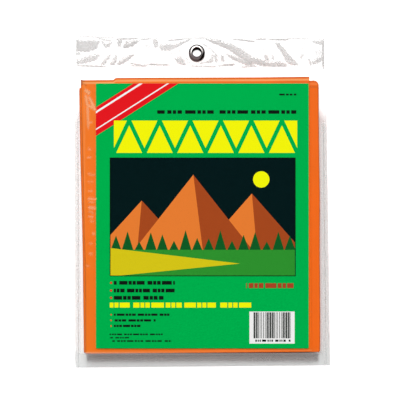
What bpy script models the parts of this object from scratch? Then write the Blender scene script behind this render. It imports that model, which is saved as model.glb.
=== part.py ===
"""Emergency tube tent in its clear hanging pack.

A long orange polyethylene tube is folded lengthways and then zigzagged into a flat bundle. A
folded instruction leaflet and a printed insert card lie on it. All three are in a clear pouch,
open at its lower end, under a doubled header strip with a clinched hanging eyelet.

The pack lies on its back. X runs across it, +Y towards the header, and +Z up through its
front. The origin is on the ground under the middle of its outline. Lengths are in metres.
"""

import math

import bmesh
import bpy
from mathutils import Vector

MM = 0.001

# Gap left between pieces that touch
CLEARANCE = 0.3 * MM

# Folded tent: one leaf is the tube's film folded lengthways, and the leaves zigzag
SHEET_GAUGE = 0.0635 * MM
PLIES_PER_LEAF = 18
LEAF_COUNT = 12
LEAF_GAP = 0.36 * MM
TENT_WIDTH = 203.5 * MM
TENT_LENGTH = 234 * MM
TENT_SHIFT = 0.7 * MM
TENT_TURN = math.radians(0.5)
LOOSE_EDGE_INSET = 9.5 * MM
INNER_EDGE_INSET = 4 * MM
FOLD_WANDER = 2.4 * MM
END_WANDER = 2.2 * MM
FOLD_ROUNDING = 2.5 * MM
FOLD_STEPS = 6
LEAF_STEPS = 2
# How far each hand-made fold and leaf end stays inside the bundle's outline, of its wander
FOLD_INSET_SHARES = (0.5, 0.3, 0.2, 0.75, 0.4, 0.1, 0.0, 0.5, 0.1, 0.0, 0.85)
HEAD_INSET_SHARES = (0.4, 0.1, 0.6, 0.3, 0.9, 0.5, 0.2, 0.7, 1.0, 0.4, 0.55, 0.0)
MOUTH_INSET_SHARES = (0.2, 0.5, 0.1, 0.6, 0.3, 0.0, 0.5, 0.9, 0.2, 0.7, 0.1, 0.3)
# Places along a leaf, and how much of the fold's rounding is taken off at each
ROW_SHARES = (0, 0.005, 0.014, 0.1, 0.35, 0.65, 0.9, 0.986, 0.995, 1)
ROUNDING_SHARES = (1, 0.4, 0, 0, 0, 0, 0, 0, 0.4, 1)

# Insert card, which leaves a border of the tent showing on each side
CARD_STOCK = 0.4 * MM
CARD_LEFT_BORDER = 12.5 * MM
CARD_RIGHT_BORDER = 9.2 * MM
CARD_HEAD_BORDER = 3.7 * MM
CARD_MOUTH_BORDER = 4.1 * MM

# Instruction leaflet, folded once and hidden behind the card
LEAFLET_PAPER = 0.12 * MM
LEAFLET_FOLD_GAP = 0.3 * MM
LEAFLET_SIDE_INSET = 20 * MM
LEAFLET_END_INSET = 14 * MM

# Pouch of clear film round the tent
POUCH_FILM = 0.25 * MM
SIDE_ROOM = 0.9 * MM
END_ROOM = 0.5 * MM
MOUTH_MARGIN = 12.3 * MM
CORNER_RADIUS = 2 * MM
FOOT_RADIUS = 0.8 * MM
DRAPE_RUN = 5 * MM
DROP_RUN = 6.2 * MM
LIP_FLARE = 0.8 * MM
LIP_RUN = 9 * MM
SIDE_WELD_WIDTH = 2.4 * MM
SIDE_WELD_FALL = 45 * MM
TOP_WELD_WIDTH = 1.7 * MM
ARC_STEPS = 4
DROP_STEPS = 7

# Header: a strip of film folded over at the top edge and welded along its lower edge
HEADER_HEIGHT = 26.8 * MM
HEADER_FILM = 0.3 * MM
HEADER_PLY_GAP = 0.3 * MM
HEADER_WELD_WIDTH = 3 * MM
HEADER_WELD_THICKNESS = 0.8 * MM
HINGE_GAP = 0.9 * MM

# Eyelet and the washer that it is clinched over
EYELET_SHIFT = 3.8 * MM
EYELET_FROM_TOP = 12.8 * MM
EYELET_BORE_RADIUS = 3.9 * MM
EYELET_WALL = 0.35 * MM
EYELET_RIM_RADIUS = 7 * MM
EYELET_RIM_HEIGHT = 1.3 * MM
CLINCH_RADIUS = 5.6 * MM
CLINCH_HEIGHT = 0.65 * MM
WASHER_RADIUS = 6.9 * MM
WASHER_THICKNESS = 0.5 * MM
WASHER_EDGE_RADIUS = 0.2 * MM
TURNED_STEPS = 36
BEAD_STEPS = 8
CUTTER_OVERRUN = 3 * MM

# Colours as seen in daylight, with roughness, metallic value and alpha
FINISHES = {
    "clear_film": ((0.93, 0.94, 0.95), 0.12, 0, 0.22),
    "welded_film": ((0.88, 0.89, 0.9), 0.3, 0, 0.45),
    "orange_polyethylene": ((0.88, 0.16, 0.02), 0.38, 0, 1),
    "green_card": ((0.004, 0.43, 0.07), 0.5, 0, 1),
    "white_paper": ((0.86, 0.86, 0.83), 0.85, 0, 1),
    "nickel_plate": ((0.6, 0.58, 0.56), 0.22, 1, 1),
}

# Levels, from the ground up
LEAF = SHEET_GAUGE * PLIES_PER_LEAF
LEAF_PITCH = LEAF + LEAF_GAP
TENT_BOTTOM = POUCH_FILM + CLEARANCE
TENT_TOP = TENT_BOTTOM + LEAF_COUNT * LEAF + (LEAF_COUNT - 1) * LEAF_GAP
LEAFLET_BOTTOM = TENT_TOP + CLEARANCE
LEAFLET_TOP = LEAFLET_BOTTOM + 2 * LEAFLET_PAPER + LEAFLET_FOLD_GAP
CARD_BOTTOM = LEAFLET_TOP + CLEARANCE
CARD_TOP = CARD_BOTTOM + CARD_STOCK
FILM_OVER_TENT = TENT_TOP + CLEARANCE + POUCH_FILM / 2
FILM_OVER_CARD = CARD_TOP + CLEARANCE + POUCH_FILM / 2
SIDE_WELD_LEVEL = FILM_OVER_TENT / 2
SEAM_OFFSET = (POUCH_FILM + CLEARANCE) / 2
HEADER_HALF = HEADER_FILM + HEADER_PLY_GAP / 2
WASHER_BOTTOM = CLINCH_HEIGHT + CLEARANCE
WASHER_TOP = WASHER_BOTTOM + WASHER_THICKNESS
HEADER_LEVEL = WASHER_TOP + CLEARANCE + HEADER_HALF

# Places across the pack
TENT_REACH_X = (TENT_WIDTH * math.cos(TENT_TURN) + TENT_LENGTH * math.sin(TENT_TURN)) / 2
WALL_X = TENT_REACH_X + TENT_SHIFT + SIDE_ROOM + POUCH_FILM / 2
FOOT_X = WALL_X + FOOT_RADIUS
WELD_INNER_X = FOOT_X + CLEARANCE
PACK_HALF_WIDTH = WELD_INNER_X + SIDE_WELD_WIDTH
CARD_WIDTH = TENT_WIDTH - CARD_LEFT_BORDER - CARD_RIGHT_BORDER
CARD_X = (CARD_LEFT_BORDER - CARD_RIGHT_BORDER) / 2 - TENT_SHIFT

# Places along the pack
TENT_REACH_Y = (TENT_LENGTH * math.cos(TENT_TURN) + TENT_WIDTH * math.sin(TENT_TURN)) / 2
TENT_TO_WELD = TENT_LENGTH / 2 + TENT_REACH_Y + END_ROOM + DROP_RUN + CLEARANCE
PACK_LENGTH = MOUTH_MARGIN + TENT_TO_WELD + TOP_WELD_WIDTH + HINGE_GAP + HEADER_HEIGHT
MOUTH_Y = -PACK_LENGTH / 2
TENT_Y = MOUTH_Y + MOUTH_MARGIN + TENT_LENGTH / 2
DROP_START_Y = TENT_Y + TENT_REACH_Y + END_ROOM
DROP_END_Y = DROP_START_Y + DROP_RUN
TOP_WELD_START_Y = DROP_END_Y + CLEARANCE
TOP_WELD_END_Y = TOP_WELD_START_Y + TOP_WELD_WIDTH
HINGE_Y = TOP_WELD_END_Y + HINGE_GAP / 2
HEADER_START_Y = TOP_WELD_END_Y + HINGE_GAP
HEADER_END_Y = HEADER_START_Y + HEADER_HEIGHT
CARD_LENGTH = TENT_LENGTH - CARD_HEAD_BORDER - CARD_MOUTH_BORDER
CARD_Y = TENT_Y + (CARD_MOUTH_BORDER - CARD_HEAD_BORDER) / 2
PLIES_START_Y = HEADER_START_Y + HEADER_WELD_WIDTH + CLEARANCE
EYELET_PLACE = Vector((-EYELET_SHIFT, HEADER_END_Y - EYELET_FROM_TOP, HEADER_LEVEL))
BARREL_RADIUS = EYELET_BORE_RADIUS + EYELET_WALL


def clear_scene():
    """Removes everything that the file holds at the start."""
    for old in list(bpy.data.objects):
        bpy.data.objects.remove(old)


def new_collection(name):
    """A collection in the scene."""
    collection = bpy.data.collections.new(name)
    bpy.context.scene.collection.children.link(collection)
    return collection


def finish_material(slot):
    """The Principled material of a finish in FINISHES."""
    colour, roughness, metallic, alpha = FINISHES[slot]
    material = bpy.data.materials.get(slot) or bpy.data.materials.new(slot)
    material.use_nodes = True
    shader = material.node_tree.nodes["Principled BSDF"]
    shader.inputs["Base Color"].default_value = (*colour, 1)
    shader.inputs["Roughness"].default_value = roughness
    shader.inputs["Metallic"].default_value = metallic
    shader.inputs["Alpha"].default_value = alpha
    return material


def place_piece(name, shape, origin, slot, collection, parent=None):
    """Makes an object of a bmesh drawn about its own origin, and sets it at its place in the pack."""
    mesh = bpy.data.meshes.new(name)
    shape.to_mesh(mesh)
    shape.free()
    mesh.materials.append(finish_material(slot))
    piece = bpy.data.objects.new(name, mesh)
    collection.objects.link(piece)
    piece.location = Vector(origin)
    if parent:
        piece.parent = parent
        piece.location -= parent.location
    return piece


def empty_at(name, place, collection):
    """An empty that stands on a joint's axis and carries the pieces that move with it."""
    carrier = bpy.data.objects.new(name, None)
    carrier.location = Vector(place)
    collection.objects.link(carrier)
    return carrier


def shaped_sheet(columns, rows, place, origin):
    """A grid whose corner (column, row) lies at place(column, row), drawn about an origin."""
    sheet = bmesh.new()
    bmesh.ops.create_grid(sheet, x_segments=columns, y_segments=rows, size=1)
    for corner in sheet.verts:
        column = round((corner.co.x + 1) / 2 * columns)
        row = round((corner.co.y + 1) / 2 * rows)
        corner.co = place(column, row) - Vector(origin)
    return sheet


def give_gauge(piece, gauge):
    """Turns an open sheet into film or paper of an even gauge, half of it on each side."""
    wall = piece.modifiers.new("gauge", "SOLIDIFY")
    wall.thickness = gauge
    wall.offset = 0


def box_shape(size):
    """A block of three sizes about its own middle."""
    block = bmesh.new()
    bmesh.ops.create_cube(block, size=1)
    bmesh.ops.scale(block, vec=size, verts=block.verts)
    return block


def arc_points(centre, radius, start, end, steps):
    """Points on an arc about (across, up), from one angle in degrees to another."""
    angles = (math.radians(start + (end - start) * step / steps) for step in range(steps + 1))
    return [(centre[0] + radius * math.cos(a), centre[1] + radius * math.sin(a)) for a in angles]


def stretched_arc(centre, reach, rise, start, end):
    """Points on a quarter of an ellipse with its own reach across and rise."""
    unit = arc_points((0, 0), 1, start, end, ARC_STEPS)
    return [(centre[0] + reach * across, centre[1] + rise * up) for across, up in unit]


def ease(share):
    """Goes from 0 to 1 as a half wave, and stays there."""
    return (1 - math.cos(math.pi * min(max(share, 0), 1))) / 2


def blend(start, end, share):
    """A number between two others."""
    return start + (end - start) * share


# Folded tent


def fold_side(fold):
    """The first fold is on the left, and they take turns."""
    return -1 if fold % 2 == 0 else 1


def fold_x(fold, row):
    """Where a fold's outer edge lies across the bundle, at one row.

    Folds -1 and LEAF_COUNT - 1 are the free edges.
    """
    if fold < 0:
        return TENT_WIDTH / 2 - INNER_EDGE_INSET
    if fold == LEAF_COUNT - 1:
        return TENT_WIDTH / 2 - LOOSE_EDGE_INSET
    inset = FOLD_WANDER * FOLD_INSET_SHARES[fold] + FOLD_ROUNDING * ROUNDING_SHARES[row]
    return fold_side(fold) * (TENT_WIDTH / 2 - inset)


def leaf_y(leaf, row):
    """Where a row of a leaf lies along the bundle."""
    head = TENT_LENGTH / 2 - END_WANDER * HEAD_INSET_SHARES[leaf]
    mouth = -TENT_LENGTH / 2 + END_WANDER * MOUTH_INSET_SHARES[leaf]
    return blend(mouth, head, ROW_SHARES[row])


def leaf_level(leaf):
    """The middle of a leaf's thickness, from the bundle's underside."""
    return LEAF / 2 + leaf * LEAF_PITCH


def bend_middle_x(fold, row):
    """The middle of the bend that a fold makes, or the free edge itself."""
    if fold in (-1, LEAF_COUNT - 1):
        return fold_x(fold, row)
    return fold_x(fold, row) - fold_side(fold) * (LEAF_PITCH + LEAF) / 2


def strip_stations():
    """Stops along the zigzag strip: (leaf, share along it, turn in degrees or None)."""
    stations = []
    for leaf in range(LEAF_COUNT):
        stations += [(leaf, step / LEAF_STEPS, None) for step in range(LEAF_STEPS + 1)]
        if leaf < LEAF_COUNT - 1:
            stations += [(leaf, 1, 180 * step / FOLD_STEPS) for step in range(1, FOLD_STEPS)]
    return stations


def build_tent(collection):
    """The zigzag bundle, as one unbroken sheet of leaf thickness."""
    stations = strip_stations()

    def place(column, row):
        leaf, share, turn = stations[column]
        if turn is None:
            across = blend(bend_middle_x(leaf - 1, row), bend_middle_x(leaf, row), share)
            return Vector((across, leaf_y(leaf, row), leaf_level(leaf)))
        angle = math.radians(turn)
        bend = LEAF_PITCH / 2
        across = bend_middle_x(leaf, row) + fold_side(leaf) * bend * math.sin(angle)
        along = blend(leaf_y(leaf, row), leaf_y(leaf + 1, row), turn / 180)
        return Vector((across, along, leaf_level(leaf) + bend * (1 - math.cos(angle))))

    sheet = shaped_sheet(len(stations) - 1, len(ROW_SHARES) - 1, place, (0, 0, 0))
    origin = (-TENT_SHIFT, TENT_Y, TENT_BOTTOM)
    tent = place_piece("folded_tent", sheet, origin, "orange_polyethylene", collection)
    tent.rotation_euler.z = TENT_TURN
    give_gauge(tent, LEAF)


# Card and leaflet


def build_insert_card(collection):
    """The printed card."""
    card = box_shape((CARD_WIDTH, CARD_LENGTH, CARD_STOCK))
    origin = (CARD_X, CARD_Y, CARD_BOTTOM + CARD_STOCK / 2)
    place_piece("insert_card", card, origin, "green_card", collection)


def build_leaflet(collection):
    """A sheet folded once, with its fold on the left."""
    leaf_offset = (LEAFLET_PAPER + LEAFLET_FOLD_GAP) / 2
    right = CARD_WIDTH / 2 - LEAFLET_SIDE_INSET
    bend_x = -right + leaf_offset + LEAFLET_PAPER / 2
    half_length = CARD_LENGTH / 2 - LEAFLET_END_INSET
    section = [(right, -leaf_offset)]
    section += arc_points((bend_x, 0), leaf_offset, 270, 90, FOLD_STEPS)
    section += [(right, leaf_offset)]

    def place(column, row):
        across, up = section[column]
        return Vector((across, blend(-half_length, half_length, row), up))

    sheet = shaped_sheet(len(section) - 1, 1, place, (0, 0, 0))
    origin = (CARD_X, CARD_Y, (LEAFLET_BOTTOM + LEAFLET_TOP) / 2)
    leaflet = place_piece("instruction_leaflet", sheet, origin, "white_paper", collection)
    give_gauge(leaflet, LEAFLET_PAPER)


# Pouch


def side_weld_level(along):
    """Height of the side welds: halfway up the bundle, falling to the header's level at the top."""
    share = 1 - (DROP_END_Y - along) / SIDE_WELD_FALL
    return blend(SIDE_WELD_LEVEL, HEADER_LEVEL, ease(share))


def pouch_rows():
    """Places along the pouch, close together at the lip and where the film drops to the weld."""
    lip = [MOUTH_Y + LIP_RUN * step / 3 for step in range(4)]
    fall_start = DROP_END_Y - SIDE_WELD_FALL
    fall = [blend(fall_start, DROP_START_Y, step / 6) for step in range(7)]
    drop = [DROP_START_Y + DROP_RUN * step / DROP_STEPS for step in range(1, DROP_STEPS + 1)]
    return lip + [blend(lip[-1], fall_start, 0.5)] + fall + drop


def front_half_section(weld):
    """The front film from its middle out to its welded edge, where it lies over the bundle."""
    card_edge = CARD_WIDTH / 2 + abs(CARD_X) + CLEARANCE
    shoulder = WALL_X - CORNER_RADIUS
    foot_z = weld + SEAM_OFFSET
    points = [(card_edge * step / 3, FILM_OVER_CARD) for step in range(4)]
    points += [(card_edge + DRAPE_RUN / 2, (FILM_OVER_CARD + FILM_OVER_TENT) / 2)]
    points += [(card_edge + DRAPE_RUN, FILM_OVER_TENT)]
    points += arc_points((shoulder, FILM_OVER_TENT - CORNER_RADIUS), CORNER_RADIUS, 90, 0, ARC_STEPS)
    points += arc_points((FOOT_X, foot_z + FOOT_RADIUS), FOOT_RADIUS, 180, 270, ARC_STEPS)
    return points


def back_half_section(weld):
    """The back film from its middle out to its welded edge, where it lies under the bundle.

    Its two bends take an S of even slope where the weld runs too low for a straight wall.
    """
    ground = POUCH_FILM / 2
    foot_z = weld - SEAM_OFFSET
    low_bend = min(CORNER_RADIUS, (foot_z - ground) * CORNER_RADIUS / (CORNER_RADIUS + FOOT_RADIUS))
    high_bend = min(FOOT_RADIUS, foot_z - ground - low_bend)
    shoulder = FOOT_X - FOOT_RADIUS - CORNER_RADIUS
    points = [(shoulder * step / 3, ground) for step in range(3)]
    points += stretched_arc((shoulder, ground + low_bend), CORNER_RADIUS, low_bend, -90, 0)
    points += stretched_arc((FOOT_X, foot_z - high_bend), FOOT_RADIUS, high_bend, 180, 90)
    return points


def developed_shares(points):
    """How far along a section each of its points lies, from 0 to 1."""
    runs = [0]
    for start, end in zip(points, points[1:]):
        runs.append(runs[-1] + math.dist(start, end))
    return [run / runs[-1] for run in runs]


def build_pouch_film(name, half_section, seam_offset, collection):
    """A film panel lofted from a boxed section round the bundle to a flat edge at the top weld."""
    rows = pouch_rows()
    middle = len(half_section(SIDE_WELD_LEVEL)) - 1
    spread = developed_shares(half_section(SIDE_WELD_LEVEL))

    def place(column, row):
        along = rows[row]
        index = abs(column - middle)
        side = 1 if column >= middle else -1
        across, up = half_section(side_weld_level(along))[index]
        flat_across, flat_up = FOOT_X * spread[index], HEADER_LEVEL + seam_offset
        drop = ease((along - DROP_START_Y) / DROP_RUN)
        if seam_offset > 0:
            lift = 1 - ease((along - MOUTH_Y) / LIP_RUN)
            up += LIP_FLARE * lift * (1 - across / FOOT_X)
        return Vector((side * blend(across, flat_across, drop), along, blend(up, flat_up, drop)))

    sheet = shaped_sheet(2 * middle, len(rows) - 1, place, (0, 0, 0))
    film = place_piece(name, sheet, (0, 0, 0), "clear_film", collection)
    give_gauge(film, POUCH_FILM)


def build_side_weld(name, side, collection):
    """The strip along one side where the two films are fused."""
    rows = pouch_rows()

    def place(column, row):
        across = side * (WELD_INNER_X, PACK_HALF_WIDTH)[column]
        return Vector((across, rows[row], side_weld_level(rows[row])))

    sheet = shaped_sheet(1, len(rows) - 1, place, (0, 0, 0))
    weld = place_piece(name, sheet, (0, 0, 0), "welded_film", collection)
    give_gauge(weld, 2 * POUCH_FILM)


def build_top_weld(collection):
    """The strip that closes the pouch under the header."""
    weld = box_shape((2 * PACK_HALF_WIDTH, TOP_WELD_WIDTH, 2 * POUCH_FILM))
    origin = (0, (TOP_WELD_START_Y + TOP_WELD_END_Y) / 2, HEADER_LEVEL)
    place_piece("top_weld", weld, origin, "welded_film", collection)


# Header


def build_header_weld(collection, hinge):
    """The ribbon along the header's lower edge where its two plies are fused."""
    weld = box_shape((2 * PACK_HALF_WIDTH, HEADER_WELD_WIDTH, HEADER_WELD_THICKNESS))
    origin = (0, HEADER_START_Y + HEADER_WELD_WIDTH / 2, HEADER_LEVEL)
    place_piece("header_weld", weld, origin, "welded_film", collection, hinge)


def build_header_strip(collection, cutters, hinge):
    """Two plies joined by the fold at the top edge, with a hole for the eyelet's barrel."""
    ply_offset = (HEADER_FILM + HEADER_PLY_GAP) / 2
    bend_y = HEADER_END_Y - HEADER_FILM / 2 - ply_offset
    section = [(PLIES_START_Y, -ply_offset)]
    section += arc_points((bend_y, 0), ply_offset, -90, 90, FOLD_STEPS)
    section += [(PLIES_START_Y, ply_offset)]

    def place(column, row):
        along, up = section[column]
        across = blend(-PACK_HALF_WIDTH, PACK_HALF_WIDTH, row)
        return Vector((across, along, up + HEADER_LEVEL))

    sheet = shaped_sheet(len(section) - 1, 1, place, hinge.location)
    strip = place_piece("header_strip", sheet, hinge.location, "clear_film", collection, hinge)
    give_gauge(strip, HEADER_FILM)

    hole = bmesh.new()
    radius = BARREL_RADIUS + CLEARANCE
    depth = 2 * (HEADER_HALF + CUTTER_OVERRUN)
    bmesh.ops.create_cone(
        hole, cap_ends=True, segments=TURNED_STEPS, radius1=radius, radius2=radius, depth=depth
    )
    cutter = place_piece("eyelet_hole", hole, EYELET_PLACE, "clear_film", cutters)
    cutter.hide_render = True
    cutter.display_type = "WIRE"
    cut = strip.modifiers.new("eyelet_hole", "BOOLEAN")
    cut.object = cutter


def turned_piece(name, profile, collection, hinge):
    """A ring turned about the eyelet's axis from a closed profile of (radius, height) points."""
    ring = bmesh.new()
    corners = [ring.verts.new((radius, 0, height)) for radius, height in profile]
    for start, end in zip(corners, corners[1:] + corners[:1]):
        ring.edges.new((start, end))
    piece = place_piece(name, ring, EYELET_PLACE, "nickel_plate", collection, hinge)
    turn = piece.modifiers.new("turned", "SCREW")
    turn.axis = "Z"
    turn.angle = 2 * math.pi
    turn.steps = turn.render_steps = TURNED_STEPS
    turn.use_merge_vertices = True
    turn.merge_threshold = MM / 1000
    turn.use_smooth_shade = True
    return piece


def half_ellipse(inner, outer, base, height, steps):
    """Points over a rounded bead, from its inner radius to its outer one. A negative height hangs down."""
    middle, reach = (inner + outer) / 2, (outer - inner) / 2
    angles = (math.pi * (1 - step / steps) for step in range(steps + 1))
    return [(middle + reach * math.cos(a), base + height * math.sin(a)) for a in angles]


def build_eyelet(collection, hinge):
    """The eyelet: a rolled rim in front, a barrel through both plies, and a clinch behind the washer."""
    rim_base = HEADER_HALF + CLEARANCE
    clinch_base = CLINCH_HEIGHT - HEADER_LEVEL
    rim = half_ellipse(
        EYELET_BORE_RADIUS, EYELET_RIM_RADIUS, rim_base, EYELET_RIM_HEIGHT, BEAD_STEPS
    )
    clinch = half_ellipse(
        EYELET_BORE_RADIUS, CLINCH_RADIUS, clinch_base, -CLINCH_HEIGHT, BEAD_STEPS
    )
    barrel = [(BARREL_RADIUS, rim_base), (BARREL_RADIUS, clinch_base)]
    turned_piece("eyelet", rim + barrel + clinch[::-1], collection, hinge)


def build_washer(collection, hinge):
    """The flat ring behind the header, with its outer edges eased."""
    inner = BARREL_RADIUS + CLEARANCE
    low, high = WASHER_BOTTOM - HEADER_LEVEL, WASHER_TOP - HEADER_LEVEL
    edge = WASHER_RADIUS - WASHER_EDGE_RADIUS
    profile = [(inner, high)]
    profile += arc_points((edge, high - WASHER_EDGE_RADIUS), WASHER_EDGE_RADIUS, 90, 0, ARC_STEPS)
    profile += arc_points((edge, low + WASHER_EDGE_RADIUS), WASHER_EDGE_RADIUS, 0, -90, ARC_STEPS)
    profile += [(inner, low)]
    turned_piece("eyelet_washer", profile, collection, hinge)


def main():
    """Builds the pack, from the tent outwards."""
    clear_scene()
    pack = new_collection("tube_tent_pack")
    cutters = new_collection("cutters")
    hinge = empty_at("header_hinge", (0, HINGE_Y, HEADER_LEVEL), pack)

    build_tent(pack)
    build_leaflet(pack)
    build_insert_card(pack)
    build_pouch_film("pouch_front_film", front_half_section, SEAM_OFFSET, pack)
    build_pouch_film("pouch_back_film", back_half_section, -SEAM_OFFSET, pack)
    build_side_weld("side_weld_left", -1, pack)
    build_side_weld("side_weld_right", 1, pack)
    build_top_weld(pack)
    build_header_weld(pack, hinge)
    build_header_strip(pack, cutters, hinge)
    build_eyelet(pack, hinge)
    build_washer(pack, hinge)


main()
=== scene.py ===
"""Dresses the emergency tube tent in its clear hanging pack.

The pack lies on its back: X runs across it, +Y towards the header, and +Z up through its front.
The classes work in millimetres, and the meshes are in metres.
"""

import logging
import math
from dataclasses import dataclass
from enum import Enum
from typing import Callable, Optional, Sequence, Union

import bpy
import numpy as np
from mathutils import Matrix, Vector

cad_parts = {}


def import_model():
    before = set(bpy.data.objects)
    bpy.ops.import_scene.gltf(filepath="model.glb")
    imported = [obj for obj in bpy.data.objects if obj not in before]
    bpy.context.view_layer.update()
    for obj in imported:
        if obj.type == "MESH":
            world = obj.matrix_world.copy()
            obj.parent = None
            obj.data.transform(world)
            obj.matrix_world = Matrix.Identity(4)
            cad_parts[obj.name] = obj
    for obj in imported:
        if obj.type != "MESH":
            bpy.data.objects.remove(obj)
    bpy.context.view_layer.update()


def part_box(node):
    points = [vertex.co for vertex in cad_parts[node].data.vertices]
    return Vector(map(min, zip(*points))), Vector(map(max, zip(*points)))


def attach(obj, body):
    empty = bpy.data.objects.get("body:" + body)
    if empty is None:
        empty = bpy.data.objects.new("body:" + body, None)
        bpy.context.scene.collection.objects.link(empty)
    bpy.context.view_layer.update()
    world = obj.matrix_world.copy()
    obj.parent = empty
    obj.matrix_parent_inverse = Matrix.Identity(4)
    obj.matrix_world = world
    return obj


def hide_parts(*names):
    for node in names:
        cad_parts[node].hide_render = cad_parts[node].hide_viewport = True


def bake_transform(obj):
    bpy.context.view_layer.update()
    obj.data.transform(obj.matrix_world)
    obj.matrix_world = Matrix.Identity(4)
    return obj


log = logging.getLogger("tube_tent_pack")

MM = 0.001
Array = np.ndarray
Point = tuple[float, float]
Triple = tuple[float, float, float]
Waves = Sequence[tuple[float, float, float, float]]
Piece = bpy.types.Object
Material = bpy.types.Material
Socket = bpy.types.NodeSocket
Value = Union[float, Sequence[float], Socket]
Amount = Union[float, Array]

# A sheet gives something for each of its corners, from arrays of their column and row numbers
Sheet = Callable[[Array, Array], Array]


class Body(str, Enum):
    """The bodies of the CAD model that pieces ride on."""

    POUCH = "pouch"
    HEADER = "header"
    TENT = "tent"
    CARD = "card"
    LEAFLET = "leaflet"


class Slot(str, Enum):
    """The record's material slots."""

    CLEAR = "clear_film"
    WELDED = "welded_film"
    ORANGE = "orange_polyethylene"
    CARD = "green_card"
    PAPER = "white_paper"
    NICKEL = "nickel_plate"


class Side(Enum):
    """The two sides of the pack."""

    LEFT = -1
    RIGHT = 1


# The pack's levels and places, as the CAD model has them
HEADER_LEVEL = 2.2
FILM_OVER_TENT = 18.651
FILM_OVER_CARD = 20.191
SIDE_SEAM_LEVEL = 9.325
SIDE_SEAM_FALL = 45.0
WALL_X = 105.2
FOOT_X = 105.292
HALF_WIDTH = 108.0
MOUTH_Y = -141.792
DROP_START_Y = 106.7
DROP_END_Y = 112.09
TOP_SEAM_Y = (112.392, 114.092)
RIBBON_Y = (114.992, 117.992)
PLIES_Y = 118.292
HEADER_END_Y = 141.792
EYELET_AT = (-3.8, 128.992)

# Each film edge's place across the pack at its middle, and its lean over a length along the pack
FILM_EDGES = {Side.LEFT: (-108.85, -0.35, 144), Side.RIGHT: (108.8, -2.0, 142)}

# Numbers over the sheet


def ease(share: Array) -> Array:
    """A half wave from 0 to 1 that stays there on both sides."""
    return (1 - np.cos(np.pi * np.clip(share, 0, 1))) / 2


def blend(start: Amount, end: Amount, share: Amount) -> Amount:
    """Goes from start to end as share goes from 0 to 1."""
    return start + (end - start) * share


def soft_edge(inside: Array, width: float) -> Array:
    """Goes from 0 outside an edge to 1 inside it, over a width round it."""
    return ease(inside / width + 0.5)


def outline(side: Side, along: Array) -> Array:
    """Where the film's edge lies on one side, at places along the pack."""
    middle, lean, run = FILM_EDGES[side]
    return middle + lean * along / run


def spread(share: Array, along: Array) -> Array:
    """Places across the film, as share goes from its left edge to its right one."""
    return blend(outline(Side.LEFT, along), outline(Side.RIGHT, along), share)


def dropped(along: Array) -> Array:
    """How far the pouch's film has come down from the bundle to the top seam, from 0 to 1."""
    return ease((along - DROP_START_Y) / (DROP_END_Y - DROP_START_Y))


def seam_level(along: Array) -> Array:
    """Height of the side seams: halfway up the bundle, falling to the header's level."""
    share = 1 - (DROP_END_Y - along) / SIDE_SEAM_FALL
    return blend(SIDE_SEAM_LEVEL, HEADER_LEVEL, ease(share))


def quilt(across: Array, along: Array, waves: Waves) -> Array:
    """Adds plane waves into a gently uneven surface.

    Args:
        across: places across the pack, in mm.
        along: places along it, in mm.
        waves: one (height, length across, length along, phase) for each wave, in mm and radians.

    Returns:
        The height at each place, in mm.
    """
    total = np.zeros_like(across)
    for height, length_across, length_along, phase in waves:
        turn = 2 * np.pi * (across / length_across + along / length_along)
        total = total + height * np.sin(turn + phase)
    return total


def uneven_wave(across: Array, length: float, swing: float, turn: float) -> Array:
    """A wave across the pack whose length comes and goes."""
    return np.sin(across / length + swing * np.sin(across / turn))


def from_segment(across: Array, along: Array, start: Point, end: Point) -> tuple[Array, Array]:
    """Measures places against the straight line between two points.

    Args:
        across: places across the pack, in mm.
        along: places along it, in mm.
        start: where the line starts.
        end: where it ends.

    Returns:
        Each place's distance from the line, and its share along it from 0 to 1.
    """
    (x, y), run_x, run_y = start, end[0] - start[0], end[1] - start[1]
    share = ((across - x) * run_x + (along - y) * run_y) / (run_x**2 + run_y**2)
    share = np.clip(share, 0, 1)
    return np.hypot(across - x - share * run_x, along - y - share * run_y), share


@dataclass(frozen=True)
class Crease:
    """A crease in film along a line, narrowing to its two ends."""

    x: float
    y: float
    end_x: float
    end_y: float
    width: float
    tone: float
    lift: float = 0.2
    blunt: float = 6.0
    tip: float = 0.15

    @property
    def run(self) -> float:
        """How far in from its edge the crease reaches its full lift."""
        return self.width / 2

    def inside(self, across: Array, along: Array) -> Array:
        """How far inside the crease each place lies, in mm, and less than 0 outside."""
        apart, share = from_segment(across, along, (self.x, self.y), (self.end_x, self.end_y))
        narrowing = np.clip(self.blunt * np.minimum(share, 1 - share) + self.tip, 0, 1)
        return self.run * narrowing - apart


@dataclass(frozen=True)
class Facet:
    """A slack patch of film with a sharp outline, lifted a little, whose grey tone is painted shade."""

    corners: tuple[Point, ...]
    lift: float
    tone: float
    run: float = 1.4

    def inside(self, across: Array, along: Array) -> Array:
        """How far inside its slightly wavy outline each place lies, in mm, and less than 0 outside."""
        across = across + 0.3 * np.sin(1.7 * along + 0.6 * across)
        along = along + 0.25 * np.sin(1.9 * across - 0.5 * along)
        nearest, within = np.full_like(across, np.inf), np.zeros(across.shape, bool)
        for start, end in zip(self.corners, self.corners[1:] + self.corners[:1]):
            nearest = np.minimum(nearest, from_segment(across, along, start, end)[0])
            (x, y), run_x, run_y = start, end[0] - start[0], end[1] - start[1]
            if run_y:
                crosses = (y > along) != (end[1] > along)
                within ^= crosses & (across < x + (along - y) / run_y * run_x)
        return np.where(within, nearest, -nearest)


def crease_rows(*rows: Sequence[float], **shared: float) -> tuple[Crease, ...]:
    """Creases from rows of their numbers, and from numbers that they share, by name."""
    return tuple(Crease(*row, **shared) for row in rows)


def facet_rows(*rows: Sequence[float]) -> tuple[Facet, ...]:
    """Facets from rows of a lift, a tone, and the corners' places, across and along in turn."""
    return tuple(Facet(tuple(zip(row[2::2], row[3::2])), *row[:2]) for row in rows)


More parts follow.
